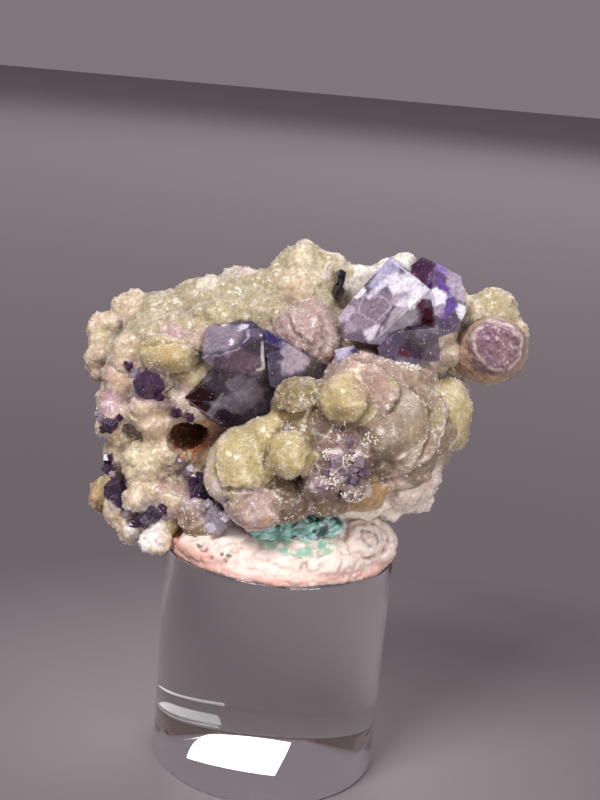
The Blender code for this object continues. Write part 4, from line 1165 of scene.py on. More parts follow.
# %% Paint the crystals
CRYSTAL_PATCHES = {
    "fluorite_left_cluster": [
        ((-8.1, -4.0, 48.8), 1.7, (0.54,0.49,0.55), 0.9, 0.0),
        ((-9.6, -2.1, 49.1), 0.8, (0.55,0.50,0.57), 0.9, 0.0),
        ((-7.8, -2.1, 49.7), 0.4, (0.86,0.82,0.86), 0.8, 0.0),
        ((-6.0, -3.2, 49.9), 0.5, (0.80,0.76,0.84), 0.7, 0.0),
        ((-6.8, -5.0, 48.8), 0.3, (0.90,0.86,0.86), 0.8, 0.0),
        ((-4.7, -4.5, 49.8), 0.6, (0.42,0.38,0.48), 0.8, 0.4),
        ((-4.6, -3.4, 50.3), 0.3, (0.20,0.17,0.24), 0.8, 0.4),
        ((-5.8, -5.4, 46.8), 1.1, (0.46,0.36,0.43), 0.8, 0.3),
        ((-7.3, -5.7, 46.5), 0.7, (0.42,0.34,0.42), 0.8, 0.3),
        ((-9.0, -6.3, 46.7), 0.5, (0.56,0.46,0.54), 0.8, 0.2),
        ((-4.4, -5.0, 46.8), 0.5, (0.52,0.42,0.50), 0.7, 0.3),
        ((-7.8, -5.5, 45.5), 0.6, (0.26,0.20,0.28), 0.7, 0.6),
        ((-2.6, -3.7, 49.2), 0.8, (0.24,0.17,0.44), 0.9, 0.6),
        ((-2.8, -4.5, 47.9), 0.8, (0.30,0.26,0.36), 0.7, 0.5),
        ((-1.7, -4.0, 48.6), 0.5, (0.44,0.40,0.54), 0.7, 0.3),
        ((-0.2, -4.5, 47.7), 1.1, (0.62,0.56,0.60), 0.9, 0.0),
        ((-0.8, -5.1, 46.7), 0.7, (0.64,0.58,0.62), 0.8, 0.1),
        ((2.0, -4.1, 46.7), 0.8, (0.35,0.33,0.33), 0.9, 0.5),
        ((0.9, -4.7, 47.4), 0.4, (0.70,0.65,0.68), 0.8, 0.0),
        ((-5.7, -3.9, 43.9), 0.9, (0.50,0.46,0.52), 0.8, 0.1),
        ((-4.6, -3.1, 42.8), 1.3, (0.57,0.53,0.58), 0.8, 0.0),
        ((-3.5, -3.9, 45.5), 0.7, (0.51,0.47,0.53), 0.8, 0.1),
        ((-6.1, -3.2, 41.5), 1.1, (0.50,0.46,0.52), 0.8, 0.1),
        ((-3.6, -2.5, 41.6), 0.7, (0.42,0.37,0.46), 0.7, 0.2),
        ((-7.0, -3.0, 40.2), 0.7, (0.22,0.16,0.24), 0.8, 0.5),
        ((-9.5, -3.8, 42.1), 1.1, (0.18,0.03,0.07), 0.9, 0.6),
        ((-10.5, -3.4, 41.6), 0.6, (0.22,0.03,0.07), 0.9, 0.6),
        ((-7.9, -3.7, 41.6), 0.4, (0.52,0.52,0.54), 0.8, 0.2),
        ((-8.2, -3.3, 40.6), 0.4, (0.42,0.42,0.44), 0.8, 0.2),
        ((-6.0, -2.6, 39.7), 0.6, (0.28,0.22,0.28), 0.8, 0.5),
    ],
    "fluorite_top_cluster": [
        ((8.7, -0.4, 57.3), 1.0, (0.68,0.64,0.78), 0.8, 0.15),
        ((8.0, -1.2, 55.9), 0.8, (0.74,0.72,0.82), 0.7, 0.1),
        ((10.3, -3.1, 55.9), 0.9, (0.88,0.85,0.89), 0.9, 0.0),
        ((11.6, -4.7, 55.5), 0.7, (0.89,0.85,0.89), 0.9, 0.0),
        ((9.5, -2.1, 56.3), 0.6, (0.90,0.88,0.93), 0.8, 0.0),
        ((11.2, -5.5, 54.2), 0.4, (0.93,0.92,0.93), 0.9, 0.0),
        ((10.0, -3.9, 54.9), 0.6, (0.70,0.64,0.72), 0.7, 0.2),
        ((6.1, -1.5, 54.1), 0.5, (0.92,0.90,0.94), 0.8, 0.0),
        ((7.5, -3.7, 52.9), 1.7, (0.53,0.46,0.52), 1.0, 0.0),
        ((6.3, -2.1, 53.6), 0.8, (0.56,0.49,0.55), 0.9, 0.0),
        ((4.7, -2.4, 52.0), 0.8, (0.70,0.64,0.70), 0.8, 0.0),
        ((5.3, -3.8, 51.0), 0.6, (0.62,0.56,0.61), 0.8, 0.0),
        ((7.5, -5.5, 51.1), 0.8, (0.84,0.79,0.84), 0.8, 0.0),
        ((10.7, -5.4, 52.7), 1.1, (0.66,0.61,0.65), 0.9, 0.0),
        ((9.8, -5.8, 52.1), 0.7, (0.62,0.57,0.61), 0.9, 0.0),
        ((10.2, -5.6, 53.2), 0.4, (0.74,0.72,0.72), 0.8, 0.0),
        ((12.9, -4.1, 53.4), 0.5, (0.34,0.06,0.14), 1.0, 0.7),
        ((13.4, -3.4, 52.4), 0.5, (0.30,0.05,0.12), 1.0, 0.7),
        ((12.4, -4.9, 54.4), 0.4, (0.40,0.14,0.22), 0.8, 0.5),
        ((11.5, -5.6, 51.1), 1.0, (0.18,0.12,0.18), 0.9, 0.2),
        ((10.4, -5.7, 50.7), 0.8, (0.28,0.24,0.33), 0.9, 0.2),
        ((13.6, -5.5, 50.9), 0.8, (0.24,0.16,0.21), 0.9, 0.1),
        ((13.9, -5.4, 52.0), 0.6, (0.42,0.36,0.41), 0.9, 0.1),
        ((12.4, -5.5, 51.7), 0.6, (0.34,0.30,0.38), 0.8, 0.3),
        ((8.1, -6.2, 50.9), 0.7, (0.58,0.53,0.62), 0.9, 0.1),
        ((11.1, -5.7, 49.5), 0.5, (0.34,0.10,0.16), 0.8, 0.5),
        ((12.6, -5.6, 50.2), 0.9, (0.20,0.13,0.19), 0.9, 0.1),
        ((13.9, -5.5, 49.6), 0.8, (0.34,0.26,0.33), 0.9, 0.1),
        ((9.6, -5.8, 49.3), 0.8, (0.33,0.26,0.35), 0.9, 0.1),
        ((12.6, 1.3, 56.9), 1.0, (0.34,0.20,0.32), 1.0, 0.5),
        ((12.2, 1.9, 57.3), 0.5, (0.26,0.14,0.26), 0.9, 0.5),
        ((12.7, 1.2, 56.8), 0.3, (0.46,0.34,0.42), 0.9, 0.3),
        ((14.2, 0.2, 56.3), 1.0, (0.43,0.33,0.50), 0.9, 0.4),
        ((13.6, -0.2, 55.7), 0.5, (0.26,0.13,0.40), 0.9, 0.6),
        ((15.0, 0.2, 55.8), 0.6, (0.39,0.29,0.55), 0.8, 0.5),
        ((15.8, 0.9, 56.7), 1.2, (0.66,0.60,0.68), 0.8, 0.1),
        ((14.9, 0.9, 57.5), 0.9, (0.58,0.48,0.76), 0.8, 0.3),
        ((16.8, 0.7, 55.3), 0.9, (0.68,0.63,0.69), 0.8, 0.1),
        ((14.5, -0.5, 54.6), 0.9, (0.90,0.88,0.93), 0.9, 0.0),
        ((13.0, -4.8, 55.5), 0.5, (0.88,0.84,0.90), 0.9, 0.0),
        ((17.0, -0.3, 53.0), 0.6, (0.88,0.86,0.90), 0.9, 0.0),
        ((15.7, -0.3, 53.9), 0.6, (0.42,0.32,0.62), 0.9, 0.5),
        ((14.8, -0.9, 53.3), 0.6, (0.64,0.58,0.66), 0.8, 0.1),
        ((15.7, -1.0, 52.3), 0.9, (0.36,0.30,0.38), 0.9, 0.2),
    ],
    "fluorite_small_step": [
        ((4.7, -5.9, 49.0), 0.8, (0.74,0.70,0.80), 0.9, 0.1),
        ((5.9, -6.0, 49.3), 0.4, (0.22,0.12,0.34), 0.9, 0.5),
        ((5.3, -5.5, 49.4), 0.3, (0.30,0.24,0.46), 0.9, 0.4),
    ],
    "fluorite_coated_ball": [
        ((20.9, -1.9, 49.9), 2.1, (0.50,0.37,0.40), 0.8, 0.0),
        ((19.8, -1.9, 51.0), 1.0, (0.50,0.36,0.44), 0.8, 0.0),
        ((20.3, -1.9, 48.1), 0.9, (0.50,0.36,0.44), 0.8, 0.0),
        ((21.6, -1.9, 52.1), 0.9, (0.62,0.49,0.53), 0.7, 0.0),
        ((21.6, -1.9, 49.5), 0.9, (0.56,0.42,0.43), 0.7, 0.0),
        ((17.6, 0.0, 48.1), 1.0, (0.80,0.64,0.56), 0.9, 0.0),
        ((18.3, 0.3, 46.7), 0.9, (0.80,0.64,0.55), 0.9, 0.0),
        ((20.0, 0.7, 45.7), 0.9, (0.86,0.70,0.58), 0.9, 0.0),
        ((21.8, 0.1, 45.9), 0.9, (0.88,0.73,0.60), 0.9, 0.0),
        ((24.6, 0.4, 49.5), 0.7, (0.82,0.70,0.62), 0.9, 0.0),
        ((24.2, -0.0, 47.9), 0.8, (0.78,0.64,0.56), 0.9, 0.0),
        ((24.5, 1.0, 51.0), 0.5, (0.84,0.74,0.66), 0.9, 0.0),
        ((19.0, -1.9, 52.0), 0.4, (0.80,0.70,0.66), 0.8, 0.0),
        ((18.2, -1.7, 50.9), 0.4, (0.78,0.68,0.64), 0.8, 0.0),
        ((21.3, 0.3, 52.8), 0.5, (0.76,0.66,0.66), 0.8, 0.0),
    ],
}
CRYSTAL_LINES = {
    "fluorite_coated_ball": [
        ([(18.2, -1.9, 51.4), (19.8, -1.9, 52.7), (22.4, -1.9, 52.5), (23.7, -1.9, 51.5),
          (23.8, -1.9, 49.1), (22.4, -1.9, 47.3), (20.2, -1.9, 47.6), (18.7, -1.9, 49.3),
          (18.2, -1.9, 51.4)], 0.45, (0.88, 0.78, 0.73), 0.7),
    ],
    "fluorite_left_cluster": [
        ([(-3.9, -5.2, 49.8), (-3.6, -5.4, 48.8), (-3.5, -5.0, 47.6), (-3.3, -4.5, 46.2),
          (-4.0, -4.5, 45.8)], 0.30, (0.94, 0.88, 0.88), 0.9),
        ([(-9.4, -6.5, 47.2), (-7.4, -6.1, 47.6), (-5.9, -5.9, 48.4), (-5.2, -5.3, 49.3),
          (-5.3, -3.8, 49.9)], 0.22, (0.80, 0.74, 0.82), 0.7),
        ([(-11.2, -3.3, 41.6), (-9.7, -3.1, 40.6), (-8.4, -3.0, 39.9), (-7.4, -2.8, 39.3)],
         0.20, (0.70, 0.52, 0.56), 0.8),
        ([(-7.4, -4.0, 42.9), (-8.1, -3.8, 41.5), (-9.0, -3.0, 40.1)], 0.25, (0.62, 0.60, 0.62), 0.7),
    ],
    "fluorite_top_cluster": [
        ([(9.1, 0.0, 58.1), (10.2, -1.6, 57.4), (11.4, -3.1, 56.8), (12.5, -4.7, 56.2)],
         0.20, (0.86, 0.82, 0.90), 0.8),
        ([(9.5, -4.5, 53.9), (8.9, -5.0, 52.8), (8.3, -5.5, 51.7), (7.9, -6.2, 50.7)],
         0.28, (0.34, 0.26, 0.32), 0.8),
        ([(10.0, -5.5, 51.5), (11.4, -4.8, 51.8), (12.9, -3.7, 52.0), (13.8, -4.9, 52.2)],
         0.32, (0.18, 0.06, 0.11), 0.9),
        ([(7.1, -2.1, 54.3), (7.7, -1.9, 54.9), (8.4, -1.8, 55.7), (9.4, -1.8, 56.6),
          (10.3, -2.4, 56.6)], 0.6, (0.88, 0.86, 0.92), 0.75),
        ([(10.3, -4.7, 54.3), (11.3, -5.0, 54.8), (11.7, -4.5, 55.7), (11.5, -3.4, 56.6)],
         0.8, (0.93, 0.91, 0.94), 0.8),
        ([(6.5, -1.6, 54.3), (8.6, -3.2, 54.4), (9.3, -4.4, 53.8), (7.7, -4.7, 52.1),
          (6.0, -2.8, 52.6), (6.5, -1.6, 54.3)], 0.16, (0.78, 0.72, 0.80), 0.6),
        ([(14.4, 0.2, 56.1), (15.4, 0.1, 55.1), (15.9, -0.3, 53.8), (15.1, -1.1, 52.5)],
         0.5, (0.40, 0.28, 0.60), 0.7),
        ([(13.4, -3.7, 54.7), (14.2, -1.2, 53.0)], 0.4, (0.86, 0.82, 0.88), 0.7),
    ],
}
CRYSTAL_BASE = {
    "fluorite_left_cluster": (0.34, 0.30, 0.38), "fluorite_top_cluster": (0.50, 0.44, 0.52),
    "fluorite_coated_ball": (0.84, 0.71, 0.60), "fluorite_small_step": (0.70, 0.66, 0.74),
    "fluorite_small_left": (0.33, 0.22, 0.36), "fluorite_small_pale": (0.76, 0.71, 0.76),
    "fluorite_small_dark": (0.10, 0.08, 0.12),
}


# How sharply one zone of colour gives way to the next.
ZONE_EDGE = 11.0
EDGE_TINT, EDGE_SHARE = (0.80, 0.75, 0.80), 0.2


def sharp_corners(mesh, least=math.radians(9)):
    """1 at the corners that lie on a worn edge of the crystal, and 0 on its flat faces."""
    shape = bmesh.new()
    shape.from_mesh(mesh)
    found = np.zeros(len(mesh.vertices))
    for edge in shape.edges:
        if len(edge.link_faces) == 2 and edge.calc_face_angle() > least:
            for corner in edge.verts:
                found[corner.index] = 1
    shape.free()
    return found


def paint_crystal(piece, name):
    """Paints the zones of a crystal: each corner takes after the patches nearest to it."""
    points = read_corners(piece.data) / MM
    cloud = smooth_noise(points, 1.4, 7.0, 3)
    fine = smooth_noise(points, 0.5, 8.0, 2)
    base = linear(CRYSTAL_BASE.get(name, (0.30, 0.22, 0.32)))
    colours = base[None] * (1 + 0.30 * cloud + 0.25 * fine)[:, None]
    clear = np.full(len(points), 0.4)
    weight = np.full(len(points), math.exp(-1.5 * ZONE_EDGE))
    moved = warped(warped(points, 0.6, 1.3, 5.0), 0.25, 0.4, 6.0)
    colours, clear = colours * weight[:, None], clear * weight
    for centre, radius, tone, strength, glass in CRYSTAL_PATCHES.get(name, ()):
        pull = np.exp(-ZONE_EDGE * np.linalg.norm(moved - np.array(centre), axis=1) / radius) * strength
        colours = colours + pull[:, None] * linear(tone) * (1 + 0.28 * cloud + 0.22 * fine)[:, None]
        clear = clear + pull * glass * 0.6
        weight = weight + pull
    colours, clear = colours / weight[:, None], clear / weight
    wavy = warped(points, 0.18, 0.5, 7.0)
    for path, width, tone, strength in CRYSTAL_LINES.get(name, ()):
        share = strength * (1 - step_up(from_path(wavy, path, 1)[0], 0.3 * width, width))
        colours = blend_in(colours, linear(tone), share)
        clear = clear * (1 - share)
    # Corners on the sharp edges are made paler, in patches.
    paler_edge_share = EDGE_SHARE * sharp_corners(piece.data) * step_up(fine, -0.5, 0.3)
    colours = blend_in(colours, linear(EDGE_TINT), paler_edge_share)
    keep_colour(piece, "tint", colours)
    keep_value(piece, "clear", np.clip(clear, 0, 1))


for name, piece in CRYSTALS.items():
    paint_crystal(piece, name)

# %% [markdown]
# ## Putty
# The putty was pressed flat on the rod by hand. It is made from soft lumps like the crust, then
# creased by a noise that has sharp valleys, marked by a few press lines and pits, and cut off
# flat. A ring of small lumps carries it to the rim, where a thin pink film laps over the rod's
# edge. The putty isn't cut to fit round the rod, so it overlaps the rod's top by 0.45 mm.

# %% Tables and build of the putty
BASE_DIAMETER, BASE_HEIGHT, GAP = 25.4, 25.4, 0.3
FILM_DEPTH = 0.45
PUTTY_LUMPS = [
    (0.0, 0.0, 26.6, 12.0, 1.9), (2.0, -6.5, 26.9, 7.5, 3.2), (-3.5, -6.0, 26.6, 7.5, 2.4),
    (8.2, -4.0, 27.6, 4.6, 3.2), (8.6, -5.4, 28.0, 2.8, 2.9), (0.5, -9.4, 26.6, 3.0, 2.2),
    (4.5, -8.6, 26.8, 3.2, 2.6), (-6.0, -7.0, 26.2, 3.4, 1.8), (-6.0, 3.0, 27.0, 5.0, 3.0),
    (5.0, 5.0, 27.5, 5.5, 3.2), (0.0, 8.0, 27.0, 4.0, 2.4), (-9.4, -1.0, 26.4, 2.4, 1.6),
]
RIM_DISTANCE, RIM_ACROSS, RIM_TALL, RIM_COUNT = 11.2, 1.75, 1.0, 64
TEAL_LUMPS = [
    (-1.6, -8.3, 29.6, 2.0, 1.1), (0.6, -8.4, 29.9, 1.9, 1.3), (2.8, -8.2, 30.3, 2.0, 1.4),
    (5.0, -7.8, 30.6, 1.7, 1.2), (1.6, -6.6, 30.4, 3.4, 1.6),
]


def rim_rows():
    """The film of putty that reaches the rim all round, a little uneven."""
    rows = []
    for step in range(RIM_COUNT):
        turn = 2 * math.pi * step / RIM_COUNT
        rows.append((
            RIM_DISTANCE * math.cos(turn), RIM_DISTANCE * math.sin(turn), BASE_HEIGHT + GAP,
            RIM_ACROSS - 0.10 * (1 + math.sin(5 * turn)), RIM_TALL + 0.15 * math.sin(7 * turn),
        ))
    return rows


def creases(points, size, seed):
    """Sharp, shallow valleys between rounded folds, from 0 to 1."""
    stretched = points * (1.0, 1.0, 2.2)
    return np.clip(1 - np.abs(smooth_noise(stretched, size, seed, 3)) * 3.5, 0, 1) ** 2


# Each press line: its path, its width, its depth and its tone. Each pit: its centre and radius.
PRESS_LINES = [
    ([(6.7, -6.4, 30.0), (6.9, -7.8, 29.2), (7.6, -8.8, 28.5), (9.2, -7.9, 27.4), (10.7, -7.3, 27.5),
      (11.7, -6.2, 28.5), (11.4, -5.3, 29.6), (10.3, -4.7, 30.4)], 0.55, 0.45, (0.62, 0.46, 0.44)),
    ([(7.9, -7.7, 29.4), (8.5, -7.2, 30.2), (9.8, -6.8, 30.0), (10.3, -7.2, 29.0)],
     0.45, 0.30, (0.42, 0.48, 0.55)),
    ([(8.4, -7.6, 29.6), (9.3, -7.8, 28.7), (9.9, -7.4, 28.4)], 0.4, 0.20, (0.50, 0.55, 0.60)),
    ([(5.4, -9.9, 29.0), (3.4, -11.3, 28.0), (2.4, -11.5, 27.2)], 0.50, 0.40, (0.66, 0.52, 0.52)),
    ([(1.0, -10.2, 29.0), (1.8, -11.2, 28.4), (2.9, -11.6, 27.2)], 0.40, 0.25, (0.72, 0.60, 0.58)),
    ([(-3.0, -11.0, 27.6), (0.5, -12.0, 27.0), (4.0, -12.0, 26.6)], 0.3, 0.15, (0.86, 0.76, 0.72)),
    ([(9.0, -9.2, 27.4), (10.6, -8.0, 27.2)], 0.3, 0.15, (0.84, 0.76, 0.74)),
]
PITS = [
    ((-8.3, -9.0, 27.8), 0.45), ((-7.7, -9.3, 28.0), 0.35), ((-7.9, -9.4, 27.4), 0.35),
    ((-6.7, -9.9, 27.6), 0.22), ((-5.9, -10.2, 27.3), 0.22), ((-5.1, -10.5, 27.4), 0.25),
    ((-4.6, -10.0, 28.0), 0.30), ((-4.1, -9.7, 28.3), 0.35), ((-3.4, -9.9, 28.2), 0.22),
    ((-6.2, -9.6, 28.1), 0.25), ((-5.4, -10.6, 26.8), 0.22), ((-6.9, -10.2, 26.9), 0.20),
    ((8.6, -6.3, 31.0), 0.45), ((9.6, -5.6, 30.8), 0.4),
]


def putty_piece(name, rows, voxel, seed, depth, floor):
    """Putty from lumps, creased to this depth and cut off flat at this height."""
    rows = [(*row, "white") for row in rows]
    centres, radii, _ = lump_rows(rows)
    piece = draw_skin(piece_from(name, *stack(BALL, centres, radii)), voxel)
    points = read_corners(piece.data) / MM
    amount = 0.12 * smooth_noise(points, 2.5, seed, 2) - depth * creases(points, 2.6, seed + 1)
    amount += 0.05 * smooth_noise(points, 0.7, seed + 2, 2)
    wavy = warped(points, 0.25, 1.0, 3.0)
    for path, width, deep, _ in PRESS_LINES:
        amount -= deep * (1 - step_up(from_path(wavy, path, 1)[0], 0.0, width))
    for centre, radius in PITS:
        away = np.linalg.norm(wavy - np.array(centre), axis=1)
        amount -= 0.35 * (1 - step_up(away, 0.5 * radius, 1.6 * radius))
    push_out(piece, amount)
    only(piece)
    bpy.ops.object.mode_set(mode="EDIT")
    bpy.ops.mesh.select_all(action="SELECT")
    bpy.ops.mesh.bisect(plane_co=(0, 0, floor * MM), plane_no=(0, 0, 1), clear_inner=True,
                        use_fill=True, threshold=0.001 * MM)
    bpy.ops.object.mode_set(mode="OBJECT")
    return piece


white_putty = putty_piece(
    "white_putty", PUTTY_LUMPS + rim_rows(), 0.22, 20, 0.22, BASE_HEIGHT - FILM_DEPTH)
blue_putty = putty_piece("blue_green_putty", TEAL_LUMPS, 0.16, 25, 0.5, BASE_HEIGHT)


def paint_putty(piece, base, streak, crease_shade):
    """The corners of the putty, two noises over them, and their first colours, with painted shade in the
    creases.
    """
    points = read_corners(piece.data) / MM
    folds = creases(points, 2.6, 21)
    cloud = smooth_noise(points, 3.0, 22, 3)
    fine = smooth_noise(points, 0.8, 23, 2)
    wavy = warped(points, 0.25, 1.0, 3.0)
    colours = np.repeat(linear(base)[None], len(points), 0) * (1 + 0.06 * fine)[:, None]
    colours = blend_in(colours, linear(streak), step_up(cloud, 0.0, 0.5) * 0.6)
    # Painted shade in the creases.
    colours = blend_in(colours, linear(crease_shade), folds * 0.45)
    return points, wavy, fine, colours


points, wavy, fine, colours = paint_putty(
    white_putty, (0.95, 0.89, 0.85), (0.95, 0.86, 0.81), (0.72, 0.58, 0.53))
turned = np.degrees(np.arctan2(points[:, 1], points[:, 0]))
from_axis = np.hypot(points[:, 0], points[:, 1])
film = step_up(from_axis + 0.5 * fine, 11.9, 12.7) * (1 - step_up(points[:, 2] + 0.4 * fine, 26.2, 27.2))
on_left = step_up(turned, -172, -160) * (1 - step_up(turned + 6 * fine, -125, -108))
under = 1 - step_up(points[:, 2] + 0.4 * fine, 27.0, 27.6)
film = np.maximum(film, on_left * under * step_up(from_axis, 10.2, 10.9))
PINK_FILM, PIT_SHADE, BLUE_STAIN = (0.92, 0.68, 0.62), (0.10, 0.07, 0.07), (0.48, 0.72, 0.62)
colours = blend_in(colours, linear(PINK_FILM), 0.75 * film)
for path, width, _, tone in PRESS_LINES:
    share = 0.9 * (1 - step_up(from_path(wavy, path, 1)[0], 0.1 * width, 0.7 * width))
    colours = blend_in(colours, linear(tone), share)
# Painted shade: the pits are darkened to nearly black.
for centre, radius in PITS:
    away = np.linalg.norm(wavy - np.array(centre), axis=1)
    share = 0.95 * (1 - step_up(away, 0.8 * radius, 1.5 * radius))
    colours = blend_in(colours, linear(PIT_SHADE), share)
STAIN_CENTRE, STAIN_RADII = (1.8, -9.6, 29.4), (4.4, 2.6, 1.6)
from_blue = np.linalg.norm((wavy - STAIN_CENTRE) / STAIN_RADII, axis=1)
edge_of_blue = 1 - step_up(from_blue, 0.75, 1.25)
colours = blend_in(colours, linear(BLUE_STAIN), 0.85 * edge_of_blue * step_up(fine, -0.3, 0.2))
keep_colour(white_putty, "tint", colours)

points, wavy, fine, colours = paint_putty(
    blue_putty, (0.56, 0.76, 0.70), (0.76, 0.88, 0.86), (0.10, 0.24, 0.23))
streaks = step_up(smooth_noise(points * (0.5, 1.0, 2.2), 1.1, 26, 3), 0.05, 0.35)
colours = blend_in(colours, linear((0.80, 0.86, 0.90)), 0.75 * streaks)
# Painted shade: dark spots stand in for the shade inside small holes, which the mesh doesn't have.
hole_shade = step_up(smooth_noise(points * (0.8, 1.0, 1.2), 1.0, 27, 2), 0.15, 0.4)
colours = blend_in(colours, linear((0.05, 0.10, 0.10)), 0.85 * hole_shade)
keep_colour(blue_putty, "tint", colours)
print("putty faces", len(white_putty.data.polygons), len(blue_putty.data.polygons))

# %% [markdown]
# ## The clear rod
# The solid rod is a prism of flat strips. To bend light as a turned rod does, it is made again:
# a cylinder with many sides, whose two rims get a narrow polished edge.

# %% Turn the rod
bpy.ops.object.select_all(action="DESELECT")
bpy.ops.mesh.primitive_cylinder_add(
    vertices=256, radius=BASE_DIAMETER / 2 * MM, depth=BASE_HEIGHT * MM,
    location=(0, 0, BASE_HEIGHT / 2 * MM))
rod = bpy.context.object
rod.name = "clear_rod"
bpy.ops.object.transform_apply(location=True, rotation=True, scale=True)
rim = rod.modifiers.new("rim", "BEVEL")
rim.width = 0.35 * MM
rim.segments = 3
rim.limit_method = "ANGLE"
rim.angle_limit = math.radians(40)
apply_modifier(rod, rim)
bpy.ops.object.shade_smooth_by_angle(angle=math.radians(30))
print("rod faces", len(rod.data.polygons))

# %% [markdown]
# ## Materials
# Each finish is one Principled shader. Its colour is read from the painted attribute and broken
# up by noise that is fixed to the object, so it stays put when the object is seen from
# another side.


# %% Node helpers
def new_finish(name):
    """A material, its node tree and its shader."""
    material = bpy.data.materials.new(name)
    material.use_nodes = True
    tree = material.node_tree
    return material, tree, tree.nodes["Principled BSDF"]


def add(tree, kind, **settings):
    """A node with settings: a socket's name gets a value, anything else is a property."""
    node = tree.nodes.new(kind)
    for key, value in settings.items():
        if key in node.inputs:
            node.inputs[key].default_value = value
        else:
            setattr(node, key, value)
    return node


def place_on_object(tree, scale_mm):
    """Object coordinates, in units of so many millimetres."""
    where = add(tree, "ShaderNodeTexCoord")
    scaled = add(tree, "ShaderNodeVectorMath", operation="SCALE")
    scaled.inputs["Scale"].default_value = 1000 / scale_mm
    tree.links.new(where.outputs["Object"], scaled.inputs[0])
    return scaled.outputs[0]


def noise_value(tree, scale_mm, detail=3.0, roughness=0.6):
    made = add(tree, "ShaderNodeTexNoise", Scale=1.0, Detail=detail, Roughness=roughness)
    tree.links.new(place_on_object(tree, scale_mm), made.inputs["Vector"])
    return made.outputs["Fac"]


def cell_distance(tree, scale_mm, feature="F1"):
    made = add(tree, "ShaderNodeTexVoronoi", feature=feature, Scale=1.0)
    tree.links.new(place_on_object(tree, scale_mm), made.inputs["Vector"])
    return made.outputs["Distance"]


def spread(tree, value, low, high, to_low=0.0, to_high=1.0):
    """The value mapped from one range to another, clamped."""
    made = add(tree, "ShaderNodeMapRange", clamp=True)
    for socket, number in zip(("From Min", "From Max", "To Min", "To Max"), (low, high, to_low, to_high)):
        made.inputs[socket].default_value = number
    tree.links.new(value, made.inputs["Value"])
    return made.outputs["Result"]


def product(tree, one, two):
    made = add(tree, "ShaderNodeMath", operation="MULTIPLY")
    tree.links.new(one, made.inputs[0])
    if isinstance(two, float):
        made.inputs[1].default_value = two
    else:
        tree.links.new(two, made.inputs[1])
    return made.outputs[0]


def painted(tree, name, socket="Color"):
    return add(tree, "ShaderNodeAttribute", attribute_name=name).outputs[socket]


def mixed(tree, share, one, two, blend="MIX"):
    """One colour mixed with another, where the second may be a plain colour."""
    made = add(tree, "ShaderNodeMix", data_type="RGBA", blend_type=blend)
    tree.links.new(share, made.inputs["Factor"])
    for socket, colour in ((made.inputs[6], one), (made.inputs[7], two)):
        if isinstance(colour, tuple):
            socket.default_value = (*linear(colour), 1)
        else:
            tree.links.new(colour, socket)
    return made.outputs[2]


def relief(tree, shader, height, depth_mm, strength=1.0, below=None):
    """A bump of so many millimetres."""
    bump = add(tree, "ShaderNodeBump", Strength=strength, Distance=depth_mm * MM)
    tree.links.new(height, bump.inputs["Height"])
    if below is not None:
        tree.links.new(below, bump.inputs["Normal"])
    tree.links.new(bump.outputs["Normal"], shader.inputs["Normal"])
    return bump.outputs["Normal"]


def set_values(shader, **values):
    for name, value in values.items():
        shader.inputs[name.replace("_", " ")].default_value = value


# %% Crust, crystal, putty and rod finishes
def crust_finish():
    material, tree, shader = new_finish("waxy_crust")
    grain = noise_value(tree, 0.5, 5.0, 0.85)
    specks = spread(tree, cell_distance(tree, 0.32), 0.16, 0.34, 1.0, 0.0)
    shade = spread(tree, grain, 0.34, 0.66, 0.60, 1.26)
    colour = painted(tree, "tint")
    bright = add(tree, "ShaderNodeVectorMath", operation="SCALE")
    tree.links.new(colour, bright.inputs[0])
    tree.links.new(shade, bright.inputs["Scale"])
    frosted = product(tree, specks, painted(tree, "frost", "Fac"))
    colour = mixed(tree, frosted, bright.outputs[0], (0.97, 0.94, 0.91))
    tree.links.new(colour, shader.inputs["Base Color"])
    tree.links.new(spread(tree, grain, 0.3, 0.7, 0.32, 0.58), shader.inputs["Roughness"])
    set_values(shader, Subsurface_Weight=0.45, Subsurface_Radius=(1.0, 0.8, 0.5),
               Subsurface_Scale=0.6 * MM, Coat_Weight=0.5, Coat_Roughness=0.16, IOR=1.45,
               Sheen_Weight=0.25, Sheen_Roughness=0.35)
    pebbles = relief(tree, shader, spread(tree, cell_distance(tree, 0.45), 0.0, 0.7, 1.0, 0.0), 0.05, 0.7)
    relief(tree, shader, grain, 0.09, 0.9, pebbles)
    return material


def crystal_finish():
    material, tree, shader = new_finish("zoned_fluorite")
    grain = noise_value(tree, 0.4, 4.0, 0.75)
    specks = spread(tree, cell_distance(tree, 0.38), 0.12, 0.26, 1.0, 0.0)
    specks = product(tree, specks, spread(tree, noise_value(tree, 1.2), 0.48, 0.62, 0.0, 0.6))
    shade = spread(tree, grain, 0.3, 0.7, 0.62, 1.32)
    bright = add(tree, "ShaderNodeVectorMath", operation="SCALE")
    tree.links.new(painted(tree, "tint"), bright.inputs[0])
    tree.links.new(shade, bright.inputs["Scale"])
    colour = mixed(tree, specks, bright.outputs[0], (0.92, 0.90, 0.93))
    tree.links.new(colour, shader.inputs["Base Color"])
    tree.links.new(painted(tree, "clear", "Fac"), shader.inputs["Transmission Weight"])
    tree.links.new(spread(tree, grain, 0.35, 0.7, 0.10, 0.32), shader.inputs["Roughness"])
    set_values(shader, IOR=1.434, Coat_Weight=0.3, Coat_Roughness=0.08)
    relief(tree, shader, grain, 0.02, 0.6)
    return material


